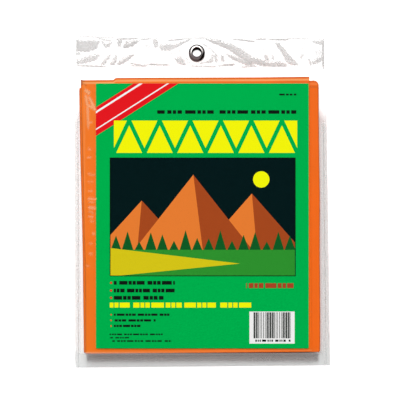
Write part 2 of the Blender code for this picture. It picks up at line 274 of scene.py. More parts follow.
@dataclass(frozen=True)
class Stripe:
    """A stripe of tone round a middle, easing off on both sides."""

    tone: float
    middle: float
    run: float
    reach: float = 1.4

    def at(self, places: Array) -> Array:
        """The stripe's tone at some places."""
        return self.tone * ease(self.reach - np.abs(places - self.middle) / self.run)


def creased(
    across: Array, along: Array, creases: Sequence[Union[Crease, Facet]], softness: float = 0.8
) -> tuple[Array, Array]:
    """Heights and tones that creases give to a film.

    Args:
        across: places across the pack, in mm.
        along: places along it, in mm.
        creases: the creases and facets.
        softness: width of a tone's edge, in mm.

    Returns:
        The lift in mm and the tone from 0 to 1, at each place.
    """
    lift, tone = np.zeros_like(across), np.zeros_like(across)
    for crease in creases:
        inside = crease.inside(across, along)
        lift = lift + crease.lift * np.clip(inside / crease.run, 0, 1)
        tone = np.maximum(tone, crease.tone * soft_edge(inside, softness))
    return lift, tone


# Modelling


def deselect_all() -> None:
    """Leaves nothing selected, so that an operator acts only on what comes next."""
    if bpy.context.mode != "OBJECT":
        bpy.ops.object.mode_set(mode="OBJECT")
    bpy.ops.object.select_all(action="DESELECT")


def name_active(name: str) -> Piece:
    """Names the object that was just added, and its mesh."""
    piece = bpy.context.active_object
    piece.name = piece.data.name = name
    return piece


def corner_array(piece: Piece) -> Array:
    """All corners of a piece's mesh, one row each."""
    corners = np.empty(len(piece.data.vertices) * 3)
    piece.data.vertices.foreach_get("co", corners)
    return corners.reshape(-1, 3)


def set_corners(piece: Piece, corners: Array) -> None:
    """Moves all corners of a piece's mesh to new places, in mm."""
    piece.data.vertices.foreach_set("co", (corners * MM).ravel())
    piece.data.update()


def grid_sheet(name: str, columns: int, rows: int, place: Sheet, **layers: Sheet) -> Piece:
    """Adds a grid and sets each of its corners at its place.

    Args:
        name: the piece's name.
        columns: number of faces across.
        rows: number of faces along.
        place: gives places in mm, one row each, for arrays of column and row numbers.
        layers: each gives a number from 0 to 1 for the same arrays, kept under its own name for
            the material to read.

    Returns:
        The sheet, without thickness.
    """
    deselect_all()
    bpy.ops.mesh.primitive_grid_add(x_subdivisions=columns, y_subdivisions=rows, size=2)
    piece = name_active(name)
    corners = corner_array(piece)
    column = np.rint((corners[:, 0] + 1) / 2 * columns).astype(int)
    row = np.rint((corners[:, 1] + 1) / 2 * rows).astype(int)
    set_corners(piece, place(column, row))
    for layer, values in layers.items():
        kept = piece.data.attributes.new(layer, "FLOAT", "POINT")
        kept.data.foreach_set("value", values(column, row).astype(np.float32))
    return piece


def apply_modifier(piece: Piece, kind: str, **settings: object) -> None:
    """Puts a modifier on a piece and applies it.

    Args:
        piece: the piece.
        kind: the modifier's type.
        settings: the modifier's own properties.
    """
    bpy.context.view_layer.objects.active = piece
    modifier = piece.modifiers.new(kind.lower(), kind)
    for key, value in settings.items():
        setattr(modifier, key, value)
    bpy.ops.object.modifier_apply(modifier=modifier.name)


def ease_edges(piece: Piece, width: float, sharp: float = 60) -> None:
    """Rounds a piece's edges to a width in mm, where they are sharper than an angle."""
    limit = {"limit_method": "ANGLE", "angle_limit": math.radians(sharp)}
    apply_modifier(piece, "BEVEL", width=width * MM, segments=2, **limit)


def smooth(piece: Piece, degrees: float) -> None:
    """Shades a piece smooth, apart from edges sharper than an angle."""
    deselect_all()
    piece.select_set(True)
    bpy.context.view_layer.objects.active = piece
    bpy.ops.object.shade_smooth_by_angle(angle=math.radians(degrees))
    deselect_all()


def give_gauge(piece: Piece, gauge: float, degrees: float = 50) -> Piece:
    """Turns a sheet into film of an even gauge, half of it on each side, and shades it.

    Args:
        piece: the sheet.
        gauge: its gauge in mm.
        degrees: the angle from which an edge stays sharp.

    Returns:
        The same piece.
    """
    apply_modifier(piece, "SOLIDIFY", thickness=gauge * MM, offset=0)
    smooth(piece, degrees)
    return piece


def clear_selection(piece: Piece, kind: str) -> None:
    """Deselects all of a piece's mesh, and sets whether edges or faces are selected next."""
    bpy.context.view_layer.objects.active = piece
    bpy.ops.object.mode_set(mode="EDIT")
    bpy.ops.mesh.select_mode(type=kind)
    bpy.ops.mesh.select_all(action="DESELECT")
    bpy.ops.object.mode_set(mode="OBJECT")


def dress(piece: Piece, material: Material) -> None:
    """Gives a piece its only material."""
    piece.data.materials.clear()
    piece.data.materials.append(material)


def hand_over(piece: Piece, material: Material, body: Body, slot: Slot, *nodes: str) -> None:
    """Dresses a finished piece and puts it on its body.

    Args:
        piece: the piece.
        material: its material.
        body: the body that it rides on.
        slot: not used.
        nodes: the CAD nodes that it replaces.
    """
    dress(piece, material)
    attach(piece, body.value)
    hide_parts(*nodes)
    log.info("%s: %d faces on %s", piece.name, len(piece.data.polygons), body.value)


# Materials


class Effect(str, Enum):
    """The node groups that several materials share."""

    CRINKLE = "film_crinkle"
    UNEVEN = "uneven_tone"
    BAR = "printed_bar"
    BAND = "printed_band"
    PEAK = "printed_peak"
    DOT = "printed_dot"
    DASHES = "printed_dashes"


class Bench:
    """A node tree, and the ways in which nodes are set down on it and wired."""

    def __init__(self, tree: bpy.types.NodeTree) -> None:
        """Takes the tree to work on."""
        self.tree = tree

    def feed(self, socket: Socket, value: Value) -> None:
        """Wires an output to a socket, or sets its value, with full opacity for a plain colour."""
        if isinstance(value, Socket):
            self.tree.links.new(value, socket)
        else:
            socket.default_value = (*value, 1.0) if socket.type == "RGBA" else value

    def add(
        self, kind: str, sockets: Optional[dict[Union[str, int], Value]] = None, **settings: object
    ) -> bpy.types.Node:
        """Sets down a node.

        Args:
            kind: the node's type, without its first word.
            sockets: what goes into its inputs, by name or number: a value, or an output to wire.
            settings: the node's own properties.

        Returns:
            The node.
        """
        node = self.tree.nodes.new(f"ShaderNode{kind}")
        for key, value in settings.items():
            setattr(node, key, value)
        for key, value in (sockets or {}).items():
            self.feed(node.inputs[key], value)
        return node

    def calc(self, operation: str, *terms: Value, clamp: bool = False) -> Socket:
        """One Math node over numbers or outputs."""
        sockets = dict(enumerate(terms))
        return self.add("Math", sockets, operation=operation, use_clamp=clamp).outputs[0]

    def times(self, first: Value, *factors: Value, clamp: bool = False) -> Socket:
        """A product."""
        for factor in factors:
            first = self.calc("MULTIPLY", first, factor, clamp=clamp)
        return first

    def line(self, value: Value, slope: Value, start: Value, clamp: bool = False) -> Socket:
        """A value times a slope, added to a start."""
        return self.calc("MULTIPLY_ADD", value, slope, start, clamp=clamp)

    def ramp(self, value: Value, start: float, run: float) -> Socket:
        """Goes from 0 to 1 as a value runs on from a start, and stays there on both sides."""
        return self.line(value, 1 / run, -start / run, clamp=True)

    def largest(self, first: Value, *others: Value) -> Socket:
        """The largest of several numbers."""
        for other in others:
            first = self.calc("MAXIMUM", first, other)
        return first

    def vector(self, operation: str, *terms: Value) -> Socket:
        """One Vector Math node, and its output that the operation fills."""
        node = self.add("VectorMath", dict(enumerate(terms)), operation=operation)
        return next(output for output in node.outputs if output.enabled)

    def scaled(self, vector: Value, share: Value) -> Socket:
        """A vector or colour times a number."""
        sockets = {0: vector, "Scale": share}
        return self.add("VectorMath", sockets, operation="SCALE").outputs[0]

    def parts(self, vector: Value) -> Sequence[Socket]:
        """The three numbers of a vector."""
        return self.add("SeparateXYZ", {0: vector}).outputs

    def mix(self, share: Value, first: Value, second: Value) -> Socket:
        """A colour between two."""
        return self.add("Mix", {0: share, 6: first, 7: second}, data_type="RGBA").outputs[2]

    def between(self, share: Value, first: Value, second: Value) -> Socket:
        """A number between two."""
        return self.add("Mix", {0: share, 2: first, 3: second}).outputs[0]

    def noise(self, place: Value, scale: float, detail: float = 2, rough: float = 0.5) -> Socket:
        """A Noise texture."""
        sockets = {"Vector": place, "Scale": scale, "Detail": detail, "Roughness": rough}
        return self.add("TexNoise", sockets).outputs[0]

    def wandering(self, step: Value, turn: float, reach: float) -> Socket:
        """The share of each step that is past, for steps of uneven length."""
        wander = self.times(self.calc("SINE", self.times(step, turn)), reach)
        return self.calc("FRACT", self.calc("ADD", step, wander))

    def rays(self, *kinds: str) -> Socket:
        """1 for rays of any of these kinds, as Light Path names them."""
        path = self.add("LightPath")
        return self.largest(*(path.outputs[f"Is {kind} Ray"] for kind in kinds))

    def bump(self, height: Value, strength: float, distance: float) -> Socket:
        """A normal that follows a height."""
        sockets = {"Height": height, "Strength": strength, "Distance": distance}
        return self.add("Bump", sockets).outputs["Normal"]

    def group(self, effect: Effect, **sockets: Value) -> Sequence[Socket]:
        """Sets down a shared effect with its own values, and returns its outputs."""
        node = self.add("Group", node_tree=bpy.data.node_groups[effect.value])
        for key, value in sockets.items():
            self.feed(node.inputs[key], value)
        return node.outputs


def build_effect(effect: Effect, rule: Callable, outputs: Sequence[str], **inputs: Value) -> None:
    """Builds a node group.

    Args:
        effect: which of the effects it is.
        rule: wires the inputs up on a bench, and returns one number's output for each name.
        outputs: names of the group's outputs.
        inputs: the value of each input, a number or a vector, by name.
    """
    tree = bpy.data.node_groups.new(effect.value, "ShaderNodeTree")
    for key, value in inputs.items():
        kind = "Float" if isinstance(value, float) else "Vector"
        socket = tree.interface.new_socket(key, in_out="INPUT", socket_type=f"NodeSocket{kind}")
        socket.default_value = value
    for key in outputs:
        tree.interface.new_socket(key, in_out="OUTPUT", socket_type="NodeSocketFloat")
    given, result = tree.nodes.new("NodeGroupInput"), tree.nodes.new("NodeGroupOutput")
    bench = Bench(tree)
    made = rule(bench, *(given.outputs[key] for key in inputs))
    for key, socket in zip(outputs, made):
        bench.feed(result.inputs[key], socket)


def crinkle(bench: Bench, vector: Socket, scale: Socket) -> tuple[Socket, ...]:
    """Fine creases of handled film: ridges where two noises cross their middle."""
    place = bench.scaled(vector, scale)
    levels = (bench.noise(place, 1.0, 3, 0.55), bench.noise(place, 3.7, 2, 0.5))
    coarse, fine = (bench.calc("ABSOLUTE", bench.calc("SUBTRACT", level, 0.5)) for level in levels)
    return (bench.line(fine, 0.35, coarse),)


def uneven_tone(bench: Bench, vector: Socket, scale: Socket, depth: Socket) -> tuple[Socket, ...]:
    """Uneven tone: a share around 1 that wanders over the surface."""
    level = bench.calc("SUBTRACT", bench.noise(bench.scaled(vector, scale), 1.0, 4), 0.5)
    return (bench.line(level, depth, 1.0),)


def bar(bench: Bench, place: Socket, middle: Socket, half: Socket) -> tuple[Socket, ...]:
    """A printed block: 1 inside its outline and 0 outside."""
    apart = bench.vector("ABSOLUTE", bench.vector("SUBTRACT", place, middle))
    right, up, _ = bench.parts(bench.vector("SUBTRACT", apart, half))
    return (bench.calc("LESS_THAN", bench.largest(right, up), 0.0),)


def band(bench: Bench, place: Socket, way: Socket, near: Socket, far: Socket) -> tuple[Socket, ...]:
    """A printed band square to a direction, between two distances along it."""
    reach = bench.vector("DOT_PRODUCT", place, way)
    above, below = bench.calc("GREATER_THAN", reach, near), bench.calc("LESS_THAN", reach, far)
    return (bench.times(above, below),)


def peak(
    bench: Bench, place: Socket, foot: Socket, half: Socket, height: Socket, lean: Socket
) -> tuple[Socket, ...]:
    """A printed triangle on its base, and the half of it to the right of a slanting ridge."""
    right, rise, _ = bench.parts(bench.vector("SUBTRACT", place, foot))
    across, up = bench.calc("DIVIDE", right, half), bench.calc("DIVIDE", rise, height)
    reach = bench.calc("ADD", bench.calc("ABSOLUTE", across), up)
    mask = bench.times(bench.calc("LESS_THAN", reach, 1.0), bench.calc("GREATER_THAN", up, 0.0))
    ridge = bench.times(bench.calc("SUBTRACT", 1.0, up), lean)
    return mask, bench.times(mask, bench.calc("GREATER_THAN", across, ridge))


def dot(bench: Bench, place: Socket, middle: Socket, radius: Socket) -> tuple[Socket, ...]:
    """A printed round dot."""
    reach = bench.vector("DISTANCE", bench.vector("MULTIPLY", place, (1, 1, 0)), middle)
    return (bench.calc("LESS_THAN", reach, radius),)


def dashes(
    bench: Bench, place: Socket, middle: Socket, half: Socket, pitch: Socket, fill: Socket
) -> tuple[Socket, ...]:
    """A row of short bars of uneven length, broken now and then by a wider gap."""
    row = bench.group(Effect.BAR, Place=place, Middle=middle, Half=half)[0]
    share = bench.wandering(bench.calc("DIVIDE", bench.parts(place)[0], pitch), 1.7, 0.4)
    return (bench.times(row, bench.calc("LESS_THAN", share, fill)),)


def build_effects() -> None:
    """Builds each shared effect once."""
    origin, block = (0, 0, 0), (1, 1, 0)
    mask, printed = ("Mask",), {"Place": origin, "Middle": origin}
    build_effect(Effect.CRINKLE, crinkle, ("Height",), Vector=origin, Scale=60.0)
    build_effect(Effect.UNEVEN, uneven_tone, ("Share",), Vector=origin, Scale=80.0, Depth=0.1)
    build_effect(Effect.BAR, bar, mask, **printed, Half=block)
    build_effect(Effect.BAND, band, mask, Place=origin, Way=(1, 0, 0), Near=0.0, Far=1.0)
    peak_sizes = {"Half": 10.0, "Height": 10.0, "Lean": 0.2}
    build_effect(Effect.PEAK, peak, ("Mask", "Shade"), Place=origin, Foot=origin, **peak_sizes)
    build_effect(Effect.DOT, dot, mask, **printed, Radius=1.0)
    build_effect(Effect.DASHES, dashes, mask, **printed, Half=block, Pitch=2.0, Fill=0.7)


class Paint(Bench):
    """The bench of one material, with its shader and its Object coordinates."""

    def __init__(self, name: str) -> None:
        """Starts the material."""
        self.material = bpy.data.materials.new(name)
        self.material.use_nodes = True
        super().__init__(self.material.node_tree)
        self.shader = self.tree.nodes["Principled BSDF"]
        self.place = self.add("TexCoord").outputs["Object"]

    def attribute(self, name: str) -> Socket:
        """A number kept at the mesh's corners."""
        return self.add("Attribute", attribute_name=name).outputs["Fac"]

    def from_middle(self, middle: Point) -> Socket:
        """Places in mm from a middle."""
        location, scale = (-middle[0], -middle[1], 0), (1 / MM, 1 / MM, 1 / MM)
        sockets = {"Vector": self.place, "Location": location, "Scale": scale}
        return self.add("Mapping", sockets).outputs[0]

    def uneven(self, scale: float, depth: float) -> Socket:
        """A share around 1 that wanders over the surface."""
        return self.group(Effect.UNEVEN, Vector=self.place, Scale=scale, Depth=depth)[0]

    def crinkle(self, scale: float) -> Socket:
        """The height of fine creases."""
        return self.group(Effect.CRINKLE, Vector=self.place, Scale=scale)[0]

    def finish(self, sockets: dict[str, Value]) -> Material:
        """Feeds the shader's inputs, and returns the material."""
        for name, value in sockets.items():
            self.feed(self.shader.inputs[name], value)
        return self.material


@dataclass(frozen=True)
class FilmFinish:
    """Clear film: hardly seen face on, brighter at a slant, with painted highlights, painted shade and a
    painted shadow in its tones.
    """

    name: str
    tint: Triple
    haze: float
    slant: float
    metal: float
    crease_tint: Triple
    crease_depth: float
    roughness: float = 0.1
    crinkle_scale: float = 70.0
    crinkle: float = 0.1
    veil_shade_tint: Triple = (0.745, 0.765, 0.757)
    mouth_shadow_tint: Triple = (0.28, 0.26, 0.255)
    veil_shade_depth: float = 0.5
    slant_power: float = 5.0
    grain: Point = (45.0, 0.7)
    clouds: Point = (16.0, 0.25)
    sharpness: Point = (30.0, 8.0)

    def make(self) -> Material:
        """Builds the material."""
        paint = Paint(self.name)
        crease, veil_shade, mouth_shadow = (paint.attribute(name) for name in ("crease", "veil_shade", "mouth_shadow"))
        facing = paint.add("LayerWeight", {"Blend": 0.5}).outputs["Facing"]
        edge = paint.times(paint.calc("POWER", facing, self.slant_power), self.slant)
        uneven = paint.uneven(*self.grain)
        haze = paint.line(uneven, self.haze, edge)
        # Crease tones: painted highlights on the pouch, painted shade on the header, and the ribbon's
        # dashes and marks.
        shown = paint.times(crease, uneven, self.crease_depth)
        # The veil: grey that is partly haze and partly painted shade.
        veil_shade_alpha = paint.times(veil_shade, paint.uneven(*self.clouds), self.veil_shade_depth)
        solid = paint.calc("ADD", paint.calc("ADD", haze, shown), veil_shade_alpha, clamp=True)
        marked = paint.times(crease, self.sharpness[0], clamp=True)
        veil_shade_mask = paint.times(veil_shade, self.sharpness[1], clamp=True)
        # Past the bundle's end the veil darkens to a painted shadow.
        film = paint.mix(veil_shade_mask, self.tint, paint.mix(mouth_shadow, self.veil_shade_tint, self.mouth_shadow_tint))
        sockets = {
            "Alpha": paint.times(solid, paint.rays("Camera", "Glossy")),
            "Base Color": paint.mix(marked, film, self.crease_tint),
            "Metallic": paint.between(paint.largest(marked, veil_shade_mask), self.metal, 0.0),
            "Roughness": self.roughness,
            "Normal": paint.bump(paint.crinkle(self.crinkle_scale), self.crinkle, MM),
        }
        return paint.finish(sockets)


@dataclass(frozen=True)
class TentFinish:
    """Thin orange polyethylene, waxy, with its plies at its sides; its paler and darker tones are painted
    highlights and shade.
    """

    name: str = "orange_polyethylene_film"
    deep: Triple = (0.96, 0.2, 0.014)
    right_shaded: Triple = (0.96, 0.157, 0.01)
    right_shaded_ramp: Point = (-0.1, 0.2)
    pale: Triple = (1.0, 0.42, 0.15)
    shaded: Triple = (0.42, 0.1, 0.025)
    bounced: Triple = (0.72, 0.25, 0.15)
    grain: Point = (38.0, 0.5)
    clouds: Point = (22.0, 0.22)
    roughness: float = 0.42
    gloss: float = 0.1
    plies: float = 6.0
    leaf_pitch: float = 1.503
    ply_wander: tuple[float, float] = (30.0, 0.0006)
    ply_height: float = 0.12
    crinkle_scale: float = 120.0
    relief: Point = (0.35, 0.0006)

    def make(self) -> Material:
        """Builds the material."""
        paint = Paint(self.name)
        uneven = paint.uneven(*self.grain)
        across, _, up = paint.parts(paint.place)
        # Painted shade: the orange turns redder and a little darker towards the right, away from the light.
        side = paint.ramp(across, *self.right_shaded_ramp)
        # Painted highlights, from the bundle's crease layer.
        pale = paint.times(paint.attribute("crease"), uneven, clamp=True)
        colour = paint.mix(pale, paint.mix(side, self.deep, self.right_shaded), self.pale)
        # Painted shade, from the bundle's shade layer.
        colour = paint.mix(paint.attribute("shade"), colour, self.shaded)
        colour = paint.scaled(colour, paint.uneven(*self.clouds))
        scale, reach = self.ply_wander
        level = paint.line(paint.noise(paint.place, scale), reach, up)
        turns = paint.times(level, 2 * math.pi * self.plies / (self.leaf_pitch * MM))
        plies = paint.times(paint.calc("SINE", turns), self.ply_height)
        height = paint.calc("ADD", plies, paint.crinkle(self.crinkle_scale))
        sockets = {
            "Base Color": paint.mix(paint.rays("Diffuse"), colour, self.bounced),
            "Roughness": paint.times(uneven, self.roughness),
            "Specular IOR Level": self.gloss,
            "Normal": paint.bump(height, *self.relief),
        }
        return paint.finish(sockets)


@dataclass(frozen=True)
class NickelFinish:
    """Bright nickel plate, with fine wear, and painted shade: black in its bore, round its rim and towards
    its lower right, brown on its lower side.
    """

    name: str = "nickel_plating"
    bright: Triple = (0.62, 0.59, 0.57)
    dull: Triple = (0.34, 0.315, 0.31)
    # Colours of the painted shade: black in the bore, round the rim and to the lower right, brown on the
    # lower side.
    shade_black: Triple = (0.008, 0.006, 0.006)
    low_shade_brown: Triple = (0.13, 0.1, 0.108)
    wear_ramp: Point = (1 / 3, 1 / 2.4)
    bore_ramp: Point = (4.65, -0.3)
    rim_ramp: Point = (5.5, 0.5)
    low_side: Point = (-0.22, -0.97)
    low_ramp: Point = (0.96, 1.6)
    dark_side: Point = (0.88, -0.47)
    dark_ramp: Point = (3.42, 1.8)
    rim_share: float = 0.92
    low_share: Point = (-0.5, 0.95)
    roughness: float = 0.24
    wear_roughness: float = 0.18

    def make(self) -> Material:
        """Builds the material."""
        paint = Paint(self.name)
        wear = paint.ramp(paint.noise(paint.place, 900.0, 4, 0.6), *self.wear_ramp)
        centred = paint.from_middle(EYELET_AT)
        apart = paint.vector("LENGTH", paint.vector("MULTIPLY", centred, (1, 1, 0)))
        # Painted shade: black in the bore and round the rim, brown on the lower side, black towards the
        # lower right.
        bore, rim = paint.ramp(apart, *self.bore_ramp), paint.ramp(apart, *self.rim_ramp)
        lower = paint.vector("DOT_PRODUCT", centred, (*self.low_side, 0))
        low = paint.ramp(lower, *self.low_ramp)
        aside = paint.vector("DOT_PRODUCT", centred, (*self.dark_side, 0))
        black = paint.ramp(aside, *self.dark_ramp)
        rings = paint.calc("ADD", bore, paint.times(rim, self.rim_share), clamp=True)
        # The lower side's painted shade, lessened where the plate is worn.
        worn = paint.times(low, paint.line(wear, *self.low_share))
        shade_share = paint.largest(rings, worn, black)
        brown = paint.calc("SUBTRACT", low, black, clamp=True)
        shade_colour = paint.mix(brown, self.shade_black, self.low_shade_brown)
        sockets = {
            "Base Color": paint.mix(shade_share, paint.mix(wear, self.bright, self.dull), shade_colour),
            "Roughness": paint.line(wear, self.wear_roughness, self.roughness),
            "Metallic": paint.calc("SUBTRACT", 1.0, shade_share),
            "Specular IOR Level": 0.0,
            "Normal": paint.bump(paint.crinkle(500.0), 0.12, 0.0002),
        }
        return paint.finish(sockets)


@dataclass(frozen=True)
class PaperFinish:
    """Uncoated leaflet paper, with rows of small print on its upper face."""

    name: str = "leaflet_paper"
    white: Triple = (0.84, 0.84, 0.81)
    ink: Triple = (0.1, 0.1, 0.11)
    middle: Point = (0.95, -12.3)
    half: Point = (64.0, 92.0)
    line_pitch: float = 5.2
    line_height: float = 0.3
    dash_pitch: float = 7.0
    dash_fill: float = 0.74
    clearings: Point = (0.016, 0.4)

    def make(self) -> Material:
        """Builds the material."""
        paint = Paint(self.name)
        flat = paint.from_middle(self.middle)
        dash = {"Half": (*self.half, 0), "Pitch": self.dash_pitch, "Fill": self.dash_fill}
        words = paint.group(Effect.DASHES, Place=flat, **dash)[0]
        share = paint.calc("FRACT", paint.calc("DIVIDE", paint.parts(flat)[1], self.line_pitch))
        lines = paint.times(words, paint.calc("LESS_THAN", share, self.line_height))
        scale, limit = self.clearings
        filled = paint.calc("GREATER_THAN", paint.noise(flat, scale, 0), limit)
        printed = paint.mix(paint.times(lines, filled), self.white, self.ink)
        sockets = {
            "Base Color": paint.scaled(printed, paint.uneven(400.0, 0.08)),
            "Roughness": 0.85,
            "Normal": paint.bump(paint.noise(paint.place, 2500.0, 3), 0.2, 0.0002),
        }
        return paint.finish(sockets)


class Ink(Enum):
    """The inks on the card."""

    GREEN = (0.0, 0.463, 0.079)
    RED = (0.83, 0.011, 0.016)
    DULL_RED = (0.42, 0.06, 0.02)
    YELLOW = (0.97, 0.98, 0.004)
    BLACK = (0.006, 0.012, 0.008)
    WHITE = (0.95, 0.95, 0.94)
    NIGHT = (0.002, 0.011, 0.012)
    LEAF = (0.006, 0.11, 0.02)
    GRASS = (0.03, 0.3, 0.03)
    MEADOW = (0.72, 0.6, 0.01)
    ORANGE = (0.86, 0.22, 0.035)
    RUST = (0.4, 0.07, 0.015)


class Press(Paint):
    """Card stock on which inks are laid over one another, at places in mm from its middle."""

    def __init__(self, name: str, middle: Point, stock: Ink) -> None:
        """Starts with the colour that covers the whole front."""
        super().__init__(name)
        self.flat = self.from_middle(middle)
        self.colour: Value = stock.value

    def shape(self, effect: Effect, **sockets: Value) -> Sequence[Socket]:
        """The masks of a printed shape."""
        return self.group(effect, Place=self.flat, **sockets)

    def bar(self, middle: Point, half: Point) -> Socket:
        """The mask of a plain block."""
        return self.shape(Effect.BAR, Middle=(*middle, 0), Half=(*half, 0))[0]

    def lay(self, ink: Ink, *masks: Socket) -> None:
        """Lays an ink where all of some masks are."""
        self.colour = self.mix(self.times(*masks), self.colour, ink.value)

    def dashes(self, ink: Ink, middle: Point, half: Point, pitch: float, fill: float) -> None:
        """Lays a row of dashes.

        Args:
            ink: the ink.
            middle: the middle of the row.
            half: half its length and half its height.
            pitch: length of a dash with its gap.
            fill: share of the pitch that the dash takes.
        """
        sockets = {"Middle": (*middle, 0), "Half": (*half, 0), "Pitch": pitch, "Fill": fill}
        self.lay(ink, self.shape(Effect.DASHES, **sockets)[0])


@dataclass(frozen=True)
class CardFinish:
    """The card's printing: a corner flash, a row of pennants, a hill picture and rows of dashes.

    Places are in mm from the card's middle, to the right and up. A line has its left and right
    end, its place up, its height, its pitch, its ink and the share of the pitch that is filled.
    """

    middle: Point
    half: Point
    name: str = "printed_card_stock"
    corner: Point = (70.5, 44.9)
    flash_end: float = 17.2
    stripes: tuple[float, ...] = (4.2, 5.2, 21.6, 20.0)
    pennants: tuple[float, ...] = (-75.5, 81.0, 53.8, 81.4)
    pennant_pitch: float = 26.08
    pennant_gap: float = 0.15
    picture_middle: Point = (0.3, -0.85)
    picture_half: Point = (78.7, 50.0)
    frame: float = 0.7
    moon: Triple = (50, 32, 7.0)
    horizon: float = 20
    hills: tuple[tuple[float, ...], ...] = (
        (-52, 40, 44, -0.1),
        (42, 44, 50, 0.1),
        (-8, 52, 66, 0.16),
    )
    trees: int = 16
    tree_pitch: float = 9.9
    tree_start: Point = (-74, 17)
    tree_half: float = 6.4
    tree_heights: Triple = (17, 5, 2.3)
    fields: tuple[tuple[float, float, Ink], ...] = (
        (0.0, 22.0, Ink.GRASS),
        (0.12, 14.0, Ink.MEADOW),
        (-0.1, 7.0, Ink.GRASS),
    )
    lines: tuple[tuple, ...] = (
        (62.3, 80.2, 103.6, 1.5, 5.0, Ink.BLACK, 0.72),
        (-38.5, 80.2, 88.7, 3.0, 6.5, Ink.BLACK, 0.72),
        (-75.5, -23.5, -57.1, 3.2, 5.4, Ink.BLACK, 0.8),
        (-75.5, -22.6, -63.7, 3.2, 4.9, Ink.BLACK, 0.8),
        (-75.5, -33.1, -69.9, 3.2, 5.8, Ink.BLACK, 0.8),
        (-79.0, 43.1, -76.1, 4.3, 6.8, Ink.YELLOW, 0.8),
        (-75.5, -28.1, -84.3, 1.9, 4.2, Ink.BLACK, 0.8),
        (-75.5, -39.9, -89.2, 1.9, 4.8, Ink.BLACK, 0.8),
        (-75.5, -51.6, -93.9, 1.9, 3.9, Ink.BLACK, 0.8),
        (-79.2, -33.8, -101.1, 1.3, 3.4, Ink.BLACK, 0.72),
        (-79.2, -60.7, -104.0, 1.1, 3.1, Ink.BLACK, 0.72),
        (-76.8, -26.3, -106.8, 1.3, 3.7, Ink.BLACK, 0.72),
        (37.4, 79.0, -59.5, 4.2, 6.2, Ink.DULL_RED, 0.8),
    )
    bullet_x: float = -77.9
    large_bullets: Triple = (-57.1, -63.7, -69.9)
    small_bullets: Triple = (-84.3, -89.2, -93.9)
    bullet_radii: Point = (0.95, 0.65)
    panel: tuple[Point, Point] = ((59.5, -95.3), (19.3, 13.7))
    panel_bars: tuple[Point, Point] = ((59.5, -93.4), (16.0, 11.1))
    panel_dashes: tuple[Point, Point] = ((59.5, -106.5), (16.4, 0.9))
    bar_pitch: float = 1.05
    bar_fill: float = 0.55

    def make(self) -> Material:
        """Builds the material."""
        press = Press(self.name, self.middle, Ink.GREEN)
        self.print_corner(press)
        self.print_pennants(press)
        self.print_picture(press)
        self.print_lines(press)
        self.print_panel(press)
        facing = press.parts(press.add("TexCoord").outputs["Normal"])[2]
        colour = press.mix(press.calc("GREATER_THAN", facing, 0.5), Ink.WHITE.value, press.colour)
        uneven = press.uneven(900.0, 0.06)
        sockets = {
            "Base Color": press.scaled(colour, uneven),
            "Roughness": press.times(uneven, 0.48),
            "Specular IOR Level": 0.0,
            "Normal": press.bump(press.noise(press.place, 1800.0, 3), 0.08, 0.0002),
        }
        return press.finish(sockets)

    def print_corner(self, press: Press) -> None:
        """A plain flash across the upper left corner, with thin stripes."""
        wide, tall = self.corner
        way = Vector((-1 / wide, 1 / tall, 0)).normalized()
        corner = Vector((-self.half[0], self.half[1], 0))
        start, end = way.dot(corner + Vector((wide, 0, 0))), way.dot(corner)
        low_near, low_far, high_near, high_far = self.stripes
        bands = (
            (start, end - self.flash_end, Ink.RED),
            (start + low_near, start + low_far, Ink.WHITE),
            (end - high_near, end - high_far, Ink.WHITE),
        )
        for near, far, ink in bands:
            press.lay(ink, press.shape(Effect.BAND, Way=way, Near=near, Far=far)[0])

    def print_pennants(self, press: Press) -> None:
        """A row of triangles, in turn upright and hanging."""
        left, right, low, high = self.pennants
        middle = ((left + right) / 2, (low + high) / 2)
        row = press.bar(middle, ((right - left) / 2, (high - low) / 2))
        across, along, _ = press.parts(press.flat)
        across = press.calc("SUBTRACT", across, left)
        zigzag = press.calc("PINGPONG", across, self.pennant_pitch / 2)
        slope = press.calc("DIVIDE", zigzag, self.pennant_pitch / 2)
        up = press.calc("DIVIDE", press.calc("SUBTRACT", along, low), high - low)
        apart = press.calc("ABSOLUTE", press.calc("SUBTRACT", up, slope))
        press.lay(Ink.YELLOW, row, press.calc("GREATER_THAN", apart, self.pennant_gap))

    def print_picture(self, press: Press) -> None:
        """Faceted hills behind a wood, over a meadow, in a thin frame."""
        (middle_x, middle_y), (half_x, half_y) = self.picture_middle, self.picture_half
        frame = press.bar(self.picture_middle, (half_x + self.frame, half_y + self.frame))
        inside = press.bar(self.picture_middle, self.picture_half)
        press.lay(Ink.BLACK, frame)
        press.lay(Ink.NIGHT, inside)
        base = middle_y - half_y
        right, up, radius = self.moon
        moon = press.shape(Effect.DOT, Middle=(middle_x + right, middle_y + up, 0), Radius=radius)
        press.lay(Ink.YELLOW, moon[0])
        for across, half, height, lean in self.hills:
            foot = (middle_x + across, base + self.horizon, 0)
            hill = press.shape(Effect.PEAK, Foot=foot, Half=half, Height=height, Lean=lean)
            press.lay(Ink.ORANGE, hill["Mask"], inside)
            press.lay(Ink.RUST, hill["Shade"], inside)
        (start, rise), (usual, swing, turn) = self.tree_start, self.tree_heights
        for number in range(self.trees):
            foot = (middle_x + start + self.tree_pitch * number, base + rise, 0)
            height = usual + swing * math.sin(turn * number)
            tree = press.shape(Effect.PEAK, Foot=foot, Half=self.tree_half, Height=height)
            press.lay(Ink.LEAF, tree["Mask"], inside)
        for tilt, level, ink in self.fields:
            way = Vector((tilt, 1, 0)).normalized()
            far = way.dot(Vector((middle_x, base + level, 0)))
            field = press.shape(Effect.BAND, Way=way, Near=-500.0, Far=far)[0]
            press.lay(ink, field, inside)

